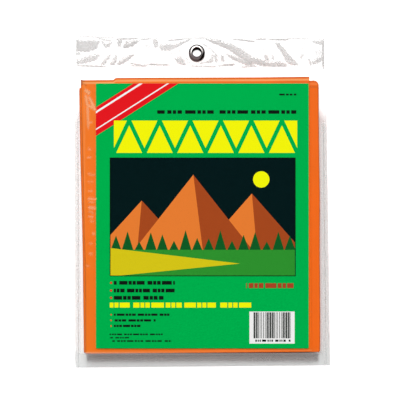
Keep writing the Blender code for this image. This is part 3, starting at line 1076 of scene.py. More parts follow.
    def print_lines(self, press: Press) -> None:
        """Rows of dashes, and the bullets before some of them."""
        for left, right, up, tall, pitch, ink, fill in self.lines:
            middle, half = ((left + right) / 2, up), ((right - left) / 2, tall / 2)
            press.dashes(ink, middle, half, pitch, fill)
        for places, radius in zip((self.large_bullets, self.small_bullets), self.bullet_radii):
            for up in places:
                bullet = press.shape(Effect.DOT, Middle=(self.bullet_x, up, 0), Radius=radius)
                press.lay(Ink.RED, bullet[0])

    def print_panel(self, press: Press) -> None:
        """A white panel with a row of upright bars and a dashed line under them."""
        press.lay(Ink.WHITE, press.bar(*self.panel))
        step = press.times(press.parts(press.flat)[0], 1 / self.bar_pitch)
        share = press.wandering(step, 2.9, 0.35)
        inked = press.calc("LESS_THAN", share, self.bar_fill)
        press.lay(Ink.BLACK, press.bar(*self.panel_bars), inked)
        press.dashes(Ink.BLACK, *self.panel_dashes, 2.6, 0.6)


def film_finishes() -> tuple[Material, ...]:
    """The film's materials: for the pouch, its seams, the header and the ribbon."""
    grey, white, warm_highlight = (0.46, 0.445, 0.435), (0.95, 0.94, 0.93), (1.0, 0.43, 0.2)
    finishes = (
        FilmFinish("clear_pouch_film", white, 0.0006, 0.05, 1.0, warm_highlight, 0.9),
        FilmFinish("fused_film", (0.75, 0.75, 0.74), 0.02, 0.1, 0.3, grey, 0.5, 0.22),
        # The grey paints shade on the header's facets, and tones the ribbon's dashes and marks.
        FilmFinish("crinkled_film", white, 0.03, 0.25, 0.1, grey, 0.52, 0.12, 110.0, 0.3),
        FilmFinish("embossed_film", white, 0.02, 0.1, 0.1, grey, 0.62, 0.2),
    )
    return tuple(finish.make() for finish in finishes)


# The pouch


@dataclass
class Pouch:
    """The clear film pouch round the bundle, with its side and top seams."""

    gauge: float = 0.12
    seam_gauge: float = 0.4
    seam_offset: float = 0.275
    seam_width: float = 2.2
    seam_gap: float = 0.3
    seam_swell: float = 2.2
    seam_overlap: float = 0.2
    card_edge: float = 92.15
    drape: float = 5.0
    corner: float = 2.0
    foot: float = 0.8
    tab: float = 1.2
    fine_from: float = 89.0
    lip_flare: float = 0.8
    lip_run: float = 9.0
    puff: float = 0.12
    puff_edge: Point = (10.0, 12.0)
    unevenness: Waves = ((0.07, 61.0, 83.0, 0.4), (0.05, -37.0, 52.0, 2.1), (0.03, 29.0, -34.0, 4.0))
    seam_ripple: Waves = ((0.06, 900.0, 11.3, 0.7), (0.04, 700.0, 4.9, 2.0))
    seam_wander: Waves = ((0.12, 1e4, 17.0, 0.2),)
    top_ripple: Waves = ((0.06, 9.1, 300.0, 0.3), (0.05, 3.7, 90.0, 1.1))
    pucker: float = 0.35
    pucker_start: Point = (88.0, 16.0)
    pucker_end: float = 9.0
    pucker_wave: Triple = (3.1, 1.3, 9.0)
    mouth_skew: Triple = (-1.55, 0.13, 1.0)
    mouth_run: float = 25.0
    # Where the veil lies: grey on slack film, partly haze and partly painted shade from the bundle.
    veil_shade_left: tuple[Point, ...] = ((-127.0, -102.2), (0.0, -104.0), (97.0, -105.0))
    veil_shade_right: tuple[Point, ...] = ((-127.0, 103.2), (0.0, 102.7), (97.0, 102.0))
    veil_shade_mouth: float = -129.8
    veil_shade_top: Point = (74.0, 66.0)
    veil_shade_share: Point = (0.55, 0.72)
    veil_shade_edge: float = 1.6
    veil_shade_fade: Point = (12.0, 13.0)
    mouth_edge: float = 1.4
    mouth_veil_shade: Point = (0.82, 0.18)
    # Where the painted shadow of the bundle lies on the film past its end.
    mouth_shadow_edge: float = 3.2
    mouth_shadow_fade: float = 0.74
    mouth_shadow_along: Point = (-134.5, -139.5)
    mouth_shadow_x: Point = (-98.0, 100.5)
    crease_lift: float = 0.1
    crease_level: float = 17.0
    # The creases lift the film a little; their tone is a painted highlight.
    creases: tuple[Crease, ...] = crease_rows(
        (-98.7, 91.4, -97.1, 81.4, 2.2, 0.62),
        (-97.2, 82.4, -96.4, 62.0, 2.2, 0.5),
        (-96.3, 90.0, -90.4, 78.6, 2.1, 0.7),
        (-96.8, 82.4, -89.6, 78.2, 2.2, 0.66),
    ) + crease_rows(
        (-99.5, 95.6, -95.2, 92.2, 2.3, 0.95),
        (-96.4, 67.6, -93.0, 67.4, 1.7, 0.42),
        (-97.0, 45.2, -94.0, 44.6, 1.6, 0.3),
        (-97.4, 37.6, -93.8, 37.8, 1.7, 0.42),
        (-97.0, 23.6, -90.8, 22.6, 1.6, 0.3),
        (-97.0, 17.0, -92.0, 16.4, 1.5, 0.22),
        (-96.6, 9.0, -92.4, 9.4, 1.5, 0.32),
        (-97.0, 2.6, -89.6, 2.0, 1.9, 0.6),
        (-96.4, -0.8, -91.0, -0.4, 1.5, 0.3),
        (-96.8, -5.0, -89.6, -5.8, 1.9, 0.62),
        (-96.4, -8.0, -91.8, -10.0, 1.6, 0.34),
        (-96.6, -12.6, -92.0, -13.6, 1.7, 0.44),
        (-95.4, -16.2, -91.2, -17.6, 1.6, 0.3),
        (-93.4, -27.2, -90.2, -27.4, 1.7, 0.34),
        (-95.8, -35.6, -92.8, -35.8, 1.6, 0.3),
        (-96.2, -44.6, -92.6, -44.8, 1.6, 0.32),
        (-98.6, -54.6, -95.6, -55.0, 1.6, 0.26),
        blunt=12.0,
    )

    def rows(self) -> Array:
        """Places along the pouch, from its mouth to the top seam."""
        lip = np.linspace(MOUTH_Y, MOUTH_Y + self.lip_run, 11)
        body = np.linspace(lip[-1], DROP_START_Y - 1, 176)[1:]
        drop = np.linspace(DROP_START_Y - 1, DROP_END_Y + 1, 22)[1:]
        return np.concatenate([lip, body, drop])

    def front_stations(self) -> Array:
        """Stops across half the front film.

        Returns:
            One row for each stop: its reach, its level, and its shares of the seam's level and of
            the wall's slack.
        """
        weld_foot = self.seam_offset + self.foot
        shoulder, fine = WALL_X - self.corner, self.fine_from
        stations = []
        for reach in [*np.linspace(0, fine, 34)[:-1], *np.linspace(fine, shoulder, 23)]:
            share = ease(np.array((reach - self.card_edge) / self.drape))
            stations.append((reach, blend(FILM_OVER_CARD, FILM_OVER_TENT, float(share)), 0, 0))
        centre = FILM_OVER_TENT - self.corner
        for angle in np.radians(np.linspace(90, 0, 8)[1:]):
            reach = shoulder + self.corner * math.cos(angle)
            stations.append((reach, centre + self.corner * math.sin(angle), 0, 0))
        for share in np.linspace(0, 1, 7)[1:-1]:
            stations.append((WALL_X, blend(centre, weld_foot, share), share, share))
        for angle in np.radians(np.linspace(180, 270, 7)):
            reach = FOOT_X + self.foot * math.cos(angle)
            stations.append((reach, weld_foot + self.foot * math.sin(angle), 1, 1))
        stations.append((FOOT_X + self.tab, self.seam_offset * 0.4, 1, 1))
        return np.array(stations, float)

    def back_stations(self) -> Array:
        """Stops across half the back film.

        Returns:
            One row for each stop: its reach, its share of the wall's slack, and the sines of the
            angles round its lower and upper bend.
        """
        shoulder = FOOT_X - self.foot - self.corner
        stations = [(reach, 0, -1, 0) for reach in np.linspace(0, shoulder, 26)]
        for angle in np.radians(np.linspace(-90, 0, 9)[1:]):
            stations.append((shoulder + self.corner * math.cos(angle), 0, math.sin(angle), 0))
        for angle in np.radians(np.linspace(180, 90, 8)):
            stations.append((FOOT_X + self.foot * math.cos(angle), 1, 0, math.sin(angle)))
        stations.append((FOOT_X + self.tab, 1, 0, 1))
        return np.array(stations, float)

    def slack(self, side: Array, along: Array) -> Array:
        """How far the foot of the film's wall stands outside its place in the CAD model."""
        edge = np.where(side > 0, outline(Side.RIGHT, along), -outline(Side.LEFT, along))
        return edge - self.seam_width - self.seam_gap - FOOT_X

    def skewed(self, across: Array, along: Array, up: Array) -> Array:
        """Skews the pouch's mouth, which isn't quite square and lies further out below.

        Args:
            across: places across the pack, in mm.
            along: places along it, in mm.
            up: their heights, in mm.

        Returns:
            The skewed places, one row each.
        """
        start, rise, tilt = self.mouth_skew
        near = ease((MOUTH_Y + self.mouth_run - along) / self.mouth_run)
        along = along + near * (start + rise * up + tilt * across / HALF_WIDTH)
        return np.column_stack([across, along, up])

    def front_places(self, column: Array, row: Array) -> Array:
        """Places of the front film's corners."""
        stations, along = self.front_stations(), self.rows()[row]
        middle = len(stations) - 1
        index, side = np.abs(column - middle), np.where(column >= middle, 1, -1)
        reach, level, share, wall = stations[index].T
        up = level + share * seam_level(along)
        reach = reach + wall * self.slack(side, along)
        runs = np.hypot(*np.diff(stations[:, :2], axis=0).T)
        developed = np.concatenate([[0], np.cumsum(runs)])
        flat_reach = (FOOT_X + self.slack(side, along)) * developed[index] / developed[-1]
        drop = dropped(along)
        lift = 1 - ease((along - MOUTH_Y) / self.lip_run)
        top = (1 - share) * (reach < WALL_X)
        up = up + self.lip_flare * lift * (1 - np.minimum(reach / FOOT_X, 1))
        across = side * blend(reach, flat_reach, drop)
        reach_in, fade = self.puff_edge
        inner = np.clip((self.card_edge + reach_in - np.abs(across)) / fade, 0, 1)
        up = up + top * inner * (self.puff + quilt(across, along, self.unevenness))
        up = up + top * self.crease_lift * creased(across, along, self.creases)[0]
        up = blend(up, HEADER_LEVEL + self.seam_offset * 0.5, drop)
        start, run = self.pucker_start
        near_drop = ease((along - start) / run) * ease((DROP_END_Y - along) / self.pucker_end)
        up = up + near_drop * self.pucker * (1 + uneven_wave(across, *self.pucker_wave)) * top
        return self.skewed(across, along, up)

    def front_highlight(self, column: Array, row: Array) -> Array:
        """Painted highlights along the front film's creases."""
        across, along, up = self.front_places(column, row).T
        return creased(across, along, self.creases)[1] * (up > self.crease_level)

    def past_mouth(self, along: Array) -> Array:
        """1 for film past the bundle's end, and 0 for film over it."""
        return soft_edge(self.veil_shade_mouth - along, self.mouth_edge)

    def veil_shade(self, places: Array) -> Array:
        """Cloudiness of the film outside the bundle, where it is slack or fused: partly haze and partly
        painted shade from the bundle, heavier on the right.
        """
        across, along, _ = places.T
        left = soft_edge(np.interp(along, *zip(*self.veil_shade_left)) - across, self.veil_shade_edge)
        right = soft_edge(across - np.interp(along, *zip(*self.veil_shade_right)), self.veil_shade_edge)
        left = left * soft_edge(self.veil_shade_top[0] - along, self.veil_shade_fade[0])
        right = right * soft_edge(self.veil_shade_top[1] - along, self.veil_shade_fade[1])
        sides = np.maximum(self.veil_shade_share[0] * left, self.veil_shade_share[1] * right)
        least, rest = self.mouth_veil_shade
        return np.maximum(sides, self.past_mouth(along) * (least + rest * self.mouth_shadow(places)))

    def mouth_shadow(self, places: Array) -> Array:
        """How deep the painted shadow past the bundle's end is: deepest next to it."""
        across, along, _ = places.T
        (start, end), (left, right) = self.mouth_shadow_along, self.mouth_shadow_x
        within = soft_edge(across - left, self.mouth_shadow_edge) * soft_edge(right - across, self.mouth_shadow_edge)
        fading = self.mouth_shadow_fade * ease((start - along) / (start - end))
        return self.past_mouth(along) * within * (1 - fading)

    def back_places(self, column: Array, row: Array) -> Array:
        """Places of the back film's corners."""
        stations, along = self.back_stations(), self.rows()[row]
        middle = len(stations) - 1
        index, side = np.abs(column - middle), np.where(column >= middle, 1, -1)
        reach, wall, low_sine, high_sine = stations[index].T
        ground = self.gauge / 2
        foot = seam_level(along) - self.seam_offset
        rise = foot - ground
        low = np.minimum(self.corner, rise * self.corner / (self.corner + self.foot))
        high = np.minimum(self.foot, rise - low)
        up = np.where(wall > 0, foot - high * (1 - high_sine), ground + low * (1 + low_sine))
        across = side * (reach + wall * self.slack(side, along))
        up = blend(up, HEADER_LEVEL - self.seam_offset * 0.5, dropped(along))
        return self.skewed(across, along, up)

    def haze_and_shade_layers(self, places: Sheet, reach: float = 1e3) -> dict[str, Sheet]:
        """Both layers for a sheet of film: the veil, partly haze and partly painted shade, and the painted
        shadow past the bundle's end.

        Args:
            places: gives the sheet's places.
            reach: how far past the walls' feet the haze goes, in mm.

        Returns:
            The layers, by name.
        """

        def veil_shade(column: Array, row: Array) -> Array:
            """Cloudiness and painted shade at the sheet's corners."""
            spots = places(column, row)
            foot = FOOT_X + self.slack(spots[:, 0], spots[:, 1])
            return self.veil_shade(spots) * (np.abs(spots[:, 0]) < foot + reach)

        return {"veil_shade": veil_shade, "mouth_shadow": lambda column, row: self.mouth_shadow(places(column, row))}

    def build_film(self, name: str, stations: Array, places: Sheet, **layers: Sheet) -> Piece:
        """One film panel with its thickness."""
        columns, rows = 2 * (len(stations) - 1), len(self.rows()) - 1
        return give_gauge(grid_sheet(name, columns, rows, places, **layers), self.gauge)

    def build_side_seam(self, side: Side) -> Piece:
        """The strip along one side where the two films are fused, gently rippled by the heat."""
        rows = np.append(self.rows(), TOP_SEAM_Y[1])
        columns = 5

        def place(column: Array, row: Array) -> Array:
            """Places of the strip's corners."""
            along, share = rows[row], column / columns
            across = outline(side, along) - side.value * self.seam_width * (1 - share)
            ripple = quilt(across, along, self.seam_ripple)
            across = across + side.value * share * quilt(across, along, self.seam_wander)
            return self.skewed(across, along, seam_level(along) + share * ripple * self.seam_swell)

        name = f"{side.name.lower()}_fused_edge"
        # The seams carry the veil's grey too, partly painted shade.
        seam = grid_sheet(name, columns, len(rows) - 1, place, **self.haze_and_shade_layers(place))
        return give_gauge(seam, self.seam_gauge)

    def build_top_seam(self) -> Piece:
        """The fused strip under the header."""
        columns, rows = 150, 3

        def place(column: Array, row: Array) -> Array:
            """Places of the strip's corners."""
            along = blend(TOP_SEAM_Y[0] - self.seam_overlap, TOP_SEAM_Y[1], row / rows)
            across = spread(column / columns, along)
            up = HEADER_LEVEL + quilt(across, along, self.top_ripple)
            return np.column_stack([across, along, up])

        return give_gauge(grid_sheet("top_fused_edge", columns, rows, place), self.seam_gauge)

    def build(self, clear: Material, fused: Material) -> None:
        """Builds and dresses the pouch."""
        layers = {"crease": self.front_highlight, **self.haze_and_shade_layers(self.front_places, 0.1)}
        front = self.build_film("front_film", self.front_stations(), self.front_places, **layers)
        hand_over(front, clear, Body.POUCH, Slot.CLEAR, "pouch_front_film")
        back = self.build_film("back_film", self.back_stations(), self.back_places)
        hand_over(back, clear, Body.POUCH, Slot.CLEAR, "pouch_back_film")
        for side in Side:
            seam = self.build_side_seam(side)
            hand_over(seam, fused, Body.POUCH, Slot.WELDED, f"side_weld_{side.name.lower()}")
        hand_over(self.build_top_seam(), fused, Body.POUCH, Slot.WELDED, "top_weld")


# The header


@dataclass
class Header:
    """The doubled strip of crinkled film over the pouch, with its welded lower edge."""

    gauge: float = 0.12
    ply_offset: float = 0.3
    ribbon_gauge: float = 0.6
    hole: float = 5.0
    plies_overlap: float = 0.6
    calm: Point = (6.5, 6.0)
    calm_foot: float = 2.5
    swell: float = 0.18
    waves: Waves = ((0.16, 41.0, 88.0, 0.3), (0.1, -23.0, 31.0, 1.9), (0.06, 13.0, 19.0, 0.8))
    top_skew: Point = (1.1, -1.35)
    columns: int = 360
    front_rows: int = 48
    back_rows: int = 26
    bend_steps: int = 8
    facet_lift: float = 0.4
    # Facets lift the front ply a little; their grey tone is painted shade.
    facets: tuple[Facet, ...] = facet_rows(
        (0.9, 0.8, -108.4, 140.4, -96.7, 141.0, -87.6, 139.4, -90.4, 132.2, -98.3, 129.6, -108.4,
         130.2),
        (0.3, 0.7, -108.4, 129.9, -105.2, 129.4, -104.8, 127.0, -108.4, 126.7),
        (0.5, 0.7, -87.7, 140.0, -85.2, 140.3, -81.7, 135.1, -84.8, 135.0),
        (0.6, 0.8, -84.8, 135.1, -79.6, 139.2, -77.2, 138.3, -79.3, 134.0, -82.1, 133.0),
        (0.6, 0.8, -72.8, 141.3, -68.2, 140.8, -69.8, 134.7, -72.4, 133.3),
        (0.8, 0.85, -68.4, 133.3, -65.0, 139.5, -56.3, 140.8, -52.8, 139.6, -58.7, 134.7, -65.0, 132.6),
        (0.6, 0.75, -42.4, 141.8, -38.4, 141.6, -36.8, 135.2, -38.6, 132.6, -41.0, 134.2),
        (0.9, 0.7, -36.8, 133.6, -35.4, 137.6, -27.0, 137.4, -20.5, 138.2, -11.9, 141.7, -8.6, 140.4,
         -19.5, 134.2, -27.0, 130.6, -34.6, 131.0),
        (0.8, 0.8, -108.0, 123.1, -101.5, 125.2, -90.4, 128.9, -87.8, 126.8, -91.2, 122.1, -101.5,
         119.5, -107.8, 118.7),
        (0.4, 0.85, -87.6, 118.7, -82.4, 125.6, -78.3, 128.0, -79.3, 124.0, -84.2, 118.1),
        (0.6, 0.85, -80.2, 118.5, -76.0, 125.0, -73.0, 128.4, -72.9, 122.0, -75.4, 117.9),
        (0.6, 0.85, -73.8, 118.3, -70.4, 122.8, -60.8, 128.4, -57.3, 127.4, -63.0, 122.3, -69.4, 118.5),
        (0.6, 0.75, -23.2, 124.4, -18.2, 127.0, -15.1, 122.9, -12.5, 118.1, -16.7, 117.8, -21.6, 120.5),
        (0.3, 0.4, -14.0, 138.2, -8.0, 140.0, -3.0, 139.6, 2.0, 138.4, -4.0, 138.6, -9.0, 138.4),
        (0.3, 0.3, -50.0, 136.4, -46.0, 137.6, -43.0, 134.0, -47.0, 132.6),
        (0.3, 0.35, -29.5, 128.6, -20.0, 131.4, -15.0, 130.8, -24.0, 127.0),
        (0.3, 0.4, -14.5, 124.6, -12.0, 125.4, -9.4, 119.6, -11.8, 118.6),
        (0.3, 0.25, -60.0, 124.6, -55.0, 127.0, -46.0, 124.6, -51.0, 122.4),
        (0.3, 0.3, 22.0, 136.4, 32.0, 131.4, 41.0, 131.0, 33.0, 134.6),
        (0.3, 0.3, 48.0, 131.0, 55.0, 134.0, 60.0, 132.4, 53.0, 128.6),
        (0.3, 0.28, 84.0, 136.0, 90.0, 138.6, 93.0, 134.0, 87.0, 131.6),
        (0.3, 0.4, 98.0, 130.6, 104.0, 131.6, 105.6, 127.4, 100.0, 126.6),
        (0.9, 0.85, 3.0, 141.3, 14.3, 141.0, 25.4, 137.3, 34.9, 132.1, 44.4, 125.9, 49.1, 124.4, 56.2,
         121.9, 68.0, 122.2, 73.6, 119.6, 76.0, 117.4, 65.0, 117.2, 49.1, 118.3, 38.6, 121.3, 31.5,
         126.0, 22.2, 132.2, 9.5, 137.3),
        (0.5, 0.85, 20.4, 128.8, 27.0, 127.0, 36.5, 123.9, 47.5, 117.9, 40.4, 117.3, 27.6, 122.3),
        (0.8, 0.8, 63.2, 137.8, 67.4, 137.6, 73.9, 130.8, 75.5, 128.4, 81.1, 122.1, 85.8, 117.9, 78.3,
         117.8, 73.5, 120.3, 70.4, 127.4),
        (0.7, 0.75, 95.7, 140.0, 106.2, 141.1, 106.8, 135.3, 103.1, 135.8, 96.5, 137.7),
        (0.7, 0.75, 95.7, 121.5, 103.8, 127.2, 106.4, 126.6, 106.3, 122.9, 100.7, 119.3, 96.3, 118.7),
        (0.4, 0.7, 85.1, 124.4, 87.2, 128.9, 89.0, 127.1, 87.4, 123.4),
        (0.4, 0.7, 92.4, 123.8, 94.1, 124.0, 96.4, 118.1, 94.5, 117.9),
        (0.4, 0.75, 4.3, 120.3, 9.9, 127.6, 11.1, 121.7, 7.9, 119.6),
        (0.4, 0.75, 10.4, 127.3, 12.6, 127.5, 14.7, 121.4, 12.2, 120.2),
        (0.4, 0.75, 16.8, 127.2, 19.4, 127.2, 20.1, 121.6, 17.4, 120.9),
        (0.4, 0.75, 54.6, 127.3, 57.2, 127.3, 59.8, 122.1, 55.0, 121.9),
        (0.3, 0.7, 60.8, 127.6, 62.8, 126.6, 63.6, 122.9, 61.0, 123.1),
    )
    # Creases lift the front ply a little; their grey tone is painted shade.
    creases: tuple[Crease, ...] = crease_rows(
        (0.6, 137.2, 9.0, 131.8, 1.3, 0.6),
        (8.4, 132.4, 15.2, 124.6, 1.3, 0.65),
        (-46.4, 119.0, -27.0, 118.3, 1.9, 0.9, 0.3),
        (47.2, 140.9, 56.6, 140.8, 1.5, 0.95),
        (105.6, 141.2, 105.8, 117.0, 2.0, 0.85, 0.3, 20.0),
        (-108.4, 143.0, -108.2, 117.0, 0.9, 0.3, 0.2, 20.0),
        (-108.0, 143.4, -75.0, 141.9, 1.5, 0.5, 0.2, 20.0),
        (-90.0, 141.2, -77.9, 139.4, 1.3, 0.95),
        (-74.0, 140.8, -54.0, 141.4, 1.3, 1.0),
        (-53.0, 140.6, -43.0, 141.1, 1.2, 0.76),
        (-30.0, 139.4, -8.0, 141.5, 1.3, 0.95),
        (-8.0, 141.9, 10.0, 141.7, 1.2, 0.66),
        (26.0, 141.1, 47.4, 138.5, 1.4, 1.0),
        (58.0, 140.5, 76.0, 140.2, 1.3, 1.0),
        (72.0, 141.4, 95.0, 141.2, 1.2, 0.85),
        (-62.0, 119.9, -51.0, 118.2, 1.3, 0.95),
        (-51.0, 118.2, -42.0, 119.0, 1.2, 0.85),
        (-1.0, 119.5, 10.0, 122.4, 1.3, 0.95),
        (18.0, 118.4, 30.0, 119.0, 1.5, 1.0),
    )
    ribbon_marks: tuple[Crease, ...] = crease_rows(
        (-108.0, 117.9, -82.0, 117.1, 1.6, 1.0),
        (-61.0, 117.9, -47.0, 117.2, 1.4, 0.9),
        (-10.0, 117.6, 14.0, 116.8, 1.4, 0.85),
        (14.0, 117.6, 28.0, 118.0, 1.3, 0.85),
        (34.0, 116.6, 49.0, 117.3, 1.3, 0.85),
        (50.0, 117.9, 75.0, 117.0, 1.5, 1.0),
        (105.9, 119.0, 106.4, 113.5, 1.2, 0.7, 0.1, 20.0),
    )
    fold_edge_shade: Triple = (0.3, 0.5, 1.2)
    edge_wave: Triple = (2.7, 1.4, 9.0)
    ribbon_wave: Waves = ((0.05, 31.0, 300.0, 0.2),)
    worn_share: float = 0.12
    worn_wave: Triple = (11.0, 1.7, 23.0)
    dash_pitch: float = 4.3
    dash_wander: Point = (0.25, 7.7)
    dash_rise: float = 0.4
    dash_fill: Point = (0.62, 0.2)
    dash_half: Point = (0.75, 0.35)
    dash_height: float = 0.22
    ribbon_overlap: float = 0.3
    hinge_overlap: float = 0.7
    hinge_margin: float = 0.1

    def section(self) -> Array:
        """The doubled strip's section.

        Returns:
            For each row its place along, and its side of the fold from -1 behind to 1 in front.
        """
        foot = PLIES_Y - self.plies_overlap
        bend = HEADER_END_Y - self.gauge / 2 - self.ply_offset
        back = [(along, -1) for along in np.linspace(foot, bend, self.back_rows)]
        turn = [
            (bend + self.ply_offset * math.cos(angle), math.sin(angle))
            for angle in np.radians(np.linspace(-90, 90, self.bend_steps + 1)[1:-1])
        ]
        front = [(along, 1) for along in np.linspace(bend, foot, self.front_rows)]
        return np.array(back + turn + front, float)

    def flat(self, column: Array, row: Array) -> tuple[Array, ...]:
        """The strip's corners.

        Args:
            column: their columns.
            row: their rows.

        Returns:
            Their places across, along the CAD model's strip and along the slightly skew real one,
            and their side of the fold.
        """
        along, fold = self.section()[row].T
        across = spread(column / self.columns, along)
        share = np.clip((along - RIBBON_Y[1]) / (HEADER_END_Y - RIBBON_Y[1]), 0, 1)
        skew = share * (self.top_skew[0] + self.top_skew[1] * across / HALF_WIDTH)
        return across, along, along + skew, fold

    def ply_places(self, column: Array, row: Array) -> Array:
        """Places of the doubled strip's corners."""
        across, along, skewed, fold = self.flat(column, row)
        near_eyelet = np.hypot(across - EYELET_AT[0], along - EYELET_AT[1])
        calm = ease((near_eyelet - self.calm[0]) / self.calm[1])
        calm = calm * ease((along - PLIES_Y + self.plies_overlap) / self.calm_foot)
        swell = self.swell + quilt(across, along, self.waves)
        lift = creased(across, skewed, self.facets + self.creases)[0] * np.clip(fold, 0, 1)
        up = HEADER_LEVEL + fold * self.ply_offset + calm * (self.facet_lift * lift + fold * swell)
        return np.column_stack([across, skewed, up])

    def ply_tone(self, column: Array, row: Array) -> Array:
        """Painted shade: grey tone of the facets and creases on the front ply, and of the fold's uneven
        edge.
        """
        across, _, skewed, fold = self.flat(column, row)
        tone = creased(across, skewed, self.facets + self.creases)[1]
        share, start, swing = self.fold_edge_shade
        edge = share * ease(start + swing * uneven_wave(across, *self.edge_wave))
        return np.where(fold > 0.9, tone, edge * (1 - np.abs(fold)))

    def cut_hole(self, strip: Piece) -> None:
        """Takes out the faces under the eyelet in both plies, and rounds the hole."""
        centre = Vector(EYELET_AT) * MM
        clear_selection(strip, "FACE")
        for face in strip.data.polygons:
            face.select = (face.center.xy - centre).length < self.hole * MM
        bpy.ops.object.mode_set(mode="EDIT")
        bpy.ops.mesh.delete(type="FACE")
        bpy.ops.object.mode_set(mode="OBJECT")
        uses: dict[tuple[int, int], int] = {}
        for face in strip.data.polygons:
            for key in face.edge_keys:
                uses[key] = uses.get(key, 0) + 1
        rim = {corner for key, count in uses.items() if count == 1 for corner in key}
        for corner in rim:
            place = strip.data.vertices[corner].co
            apart = place.xy - centre
            if apart.length < 1.6 * self.hole * MM:
                place.xy = centre + apart.normalized() * self.hole * MM

    def build_plies(self) -> Piece:
        """The doubled strip."""
        rows = len(self.section()) - 1
        strip = grid_sheet("header_plies", self.columns, rows, self.ply_places, crease=self.ply_tone)
        self.cut_hole(strip)
        return give_gauge(strip, self.gauge, 35)

    def dash(self, across: Array, along: Array) -> Array:
        """1 on the dashes embossed along the ribbon, and 0 between them."""
        swing, turn = self.dash_wander
        step = across / self.dash_pitch + swing * np.sin(across / turn)
        middle = sum(RIBBON_Y) / 2 + self.dash_rise
        (fill, fade), (half, soft) = self.dash_fill, self.dash_half
        long = ease((fill - np.abs((step % 1) - 0.5) * 2) / fade)
        return long * ease((half - np.abs(along - middle)) / soft)

    def build_ribbon(self) -> Piece:
        """The welded ribbon, embossed with a row of dashes."""
        columns, rows = 420, 8

        def flat(column: Array, row: Array) -> tuple[Array, Array]:
            """Places across and along of the ribbon's corners."""
            along = blend(RIBBON_Y[0], RIBBON_Y[1] + self.ribbon_overlap, row / rows)
            return spread(column / columns, along), along

        def place(column: Array, row: Array) -> Array:
            """Places of the ribbon's corners."""
            across, along = flat(column, row)
            wave = quilt(across, along, self.ribbon_wave)
            up = HEADER_LEVEL + wave + self.dash_height * self.dash(across, along)
            return np.column_stack([across, along, up])

        def tone(column: Array, row: Array) -> Array:
            """Tone of its dashes and marks."""
            across, along = flat(column, row)
            worn = self.worn_share * (1 + uneven_wave(across, *self.worn_wave))
            marks = creased(across, along, self.ribbon_marks)[1]
            return np.maximum(self.dash(across, along) * worn, marks)

        ribbon = grid_sheet("header_ribbon", columns, rows, place, crease=tone)
        return give_gauge(ribbon, self.ribbon_gauge, 40)

    def build_hinge_film(self) -> Piece:
        """A flat run of film between the pouch and the header."""
        columns, rows = 120, 10

        def place(column: Array, row: Array) -> Array:
            """Places of the film's corners."""
            start, end = TOP_SEAM_Y[1] - self.hinge_overlap, RIBBON_Y[0] + self.hinge_overlap
            along = blend(start, end, row / rows)
            across = spread(column / columns, along)
            return np.column_stack([across, along, np.full_like(across, HEADER_LEVEL)])

        return give_gauge(grid_sheet("hinge_film", columns, rows, place), 2 * self.gauge)

    def build(self, crinkled: Material, embossed: Material, clear: Material) -> None:
        """Builds and dresses the header."""
        hand_over(self.build_plies(), crinkled, Body.HEADER, Slot.CLEAR, "header_strip")
        hand_over(self.build_ribbon(), embossed, Body.HEADER, Slot.WELDED, "header_weld")
        hinge = self.build_hinge_film()
        dress(hinge, clear)
        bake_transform(hinge)
        log.info("%s: bends between pouch and header", hinge.name)


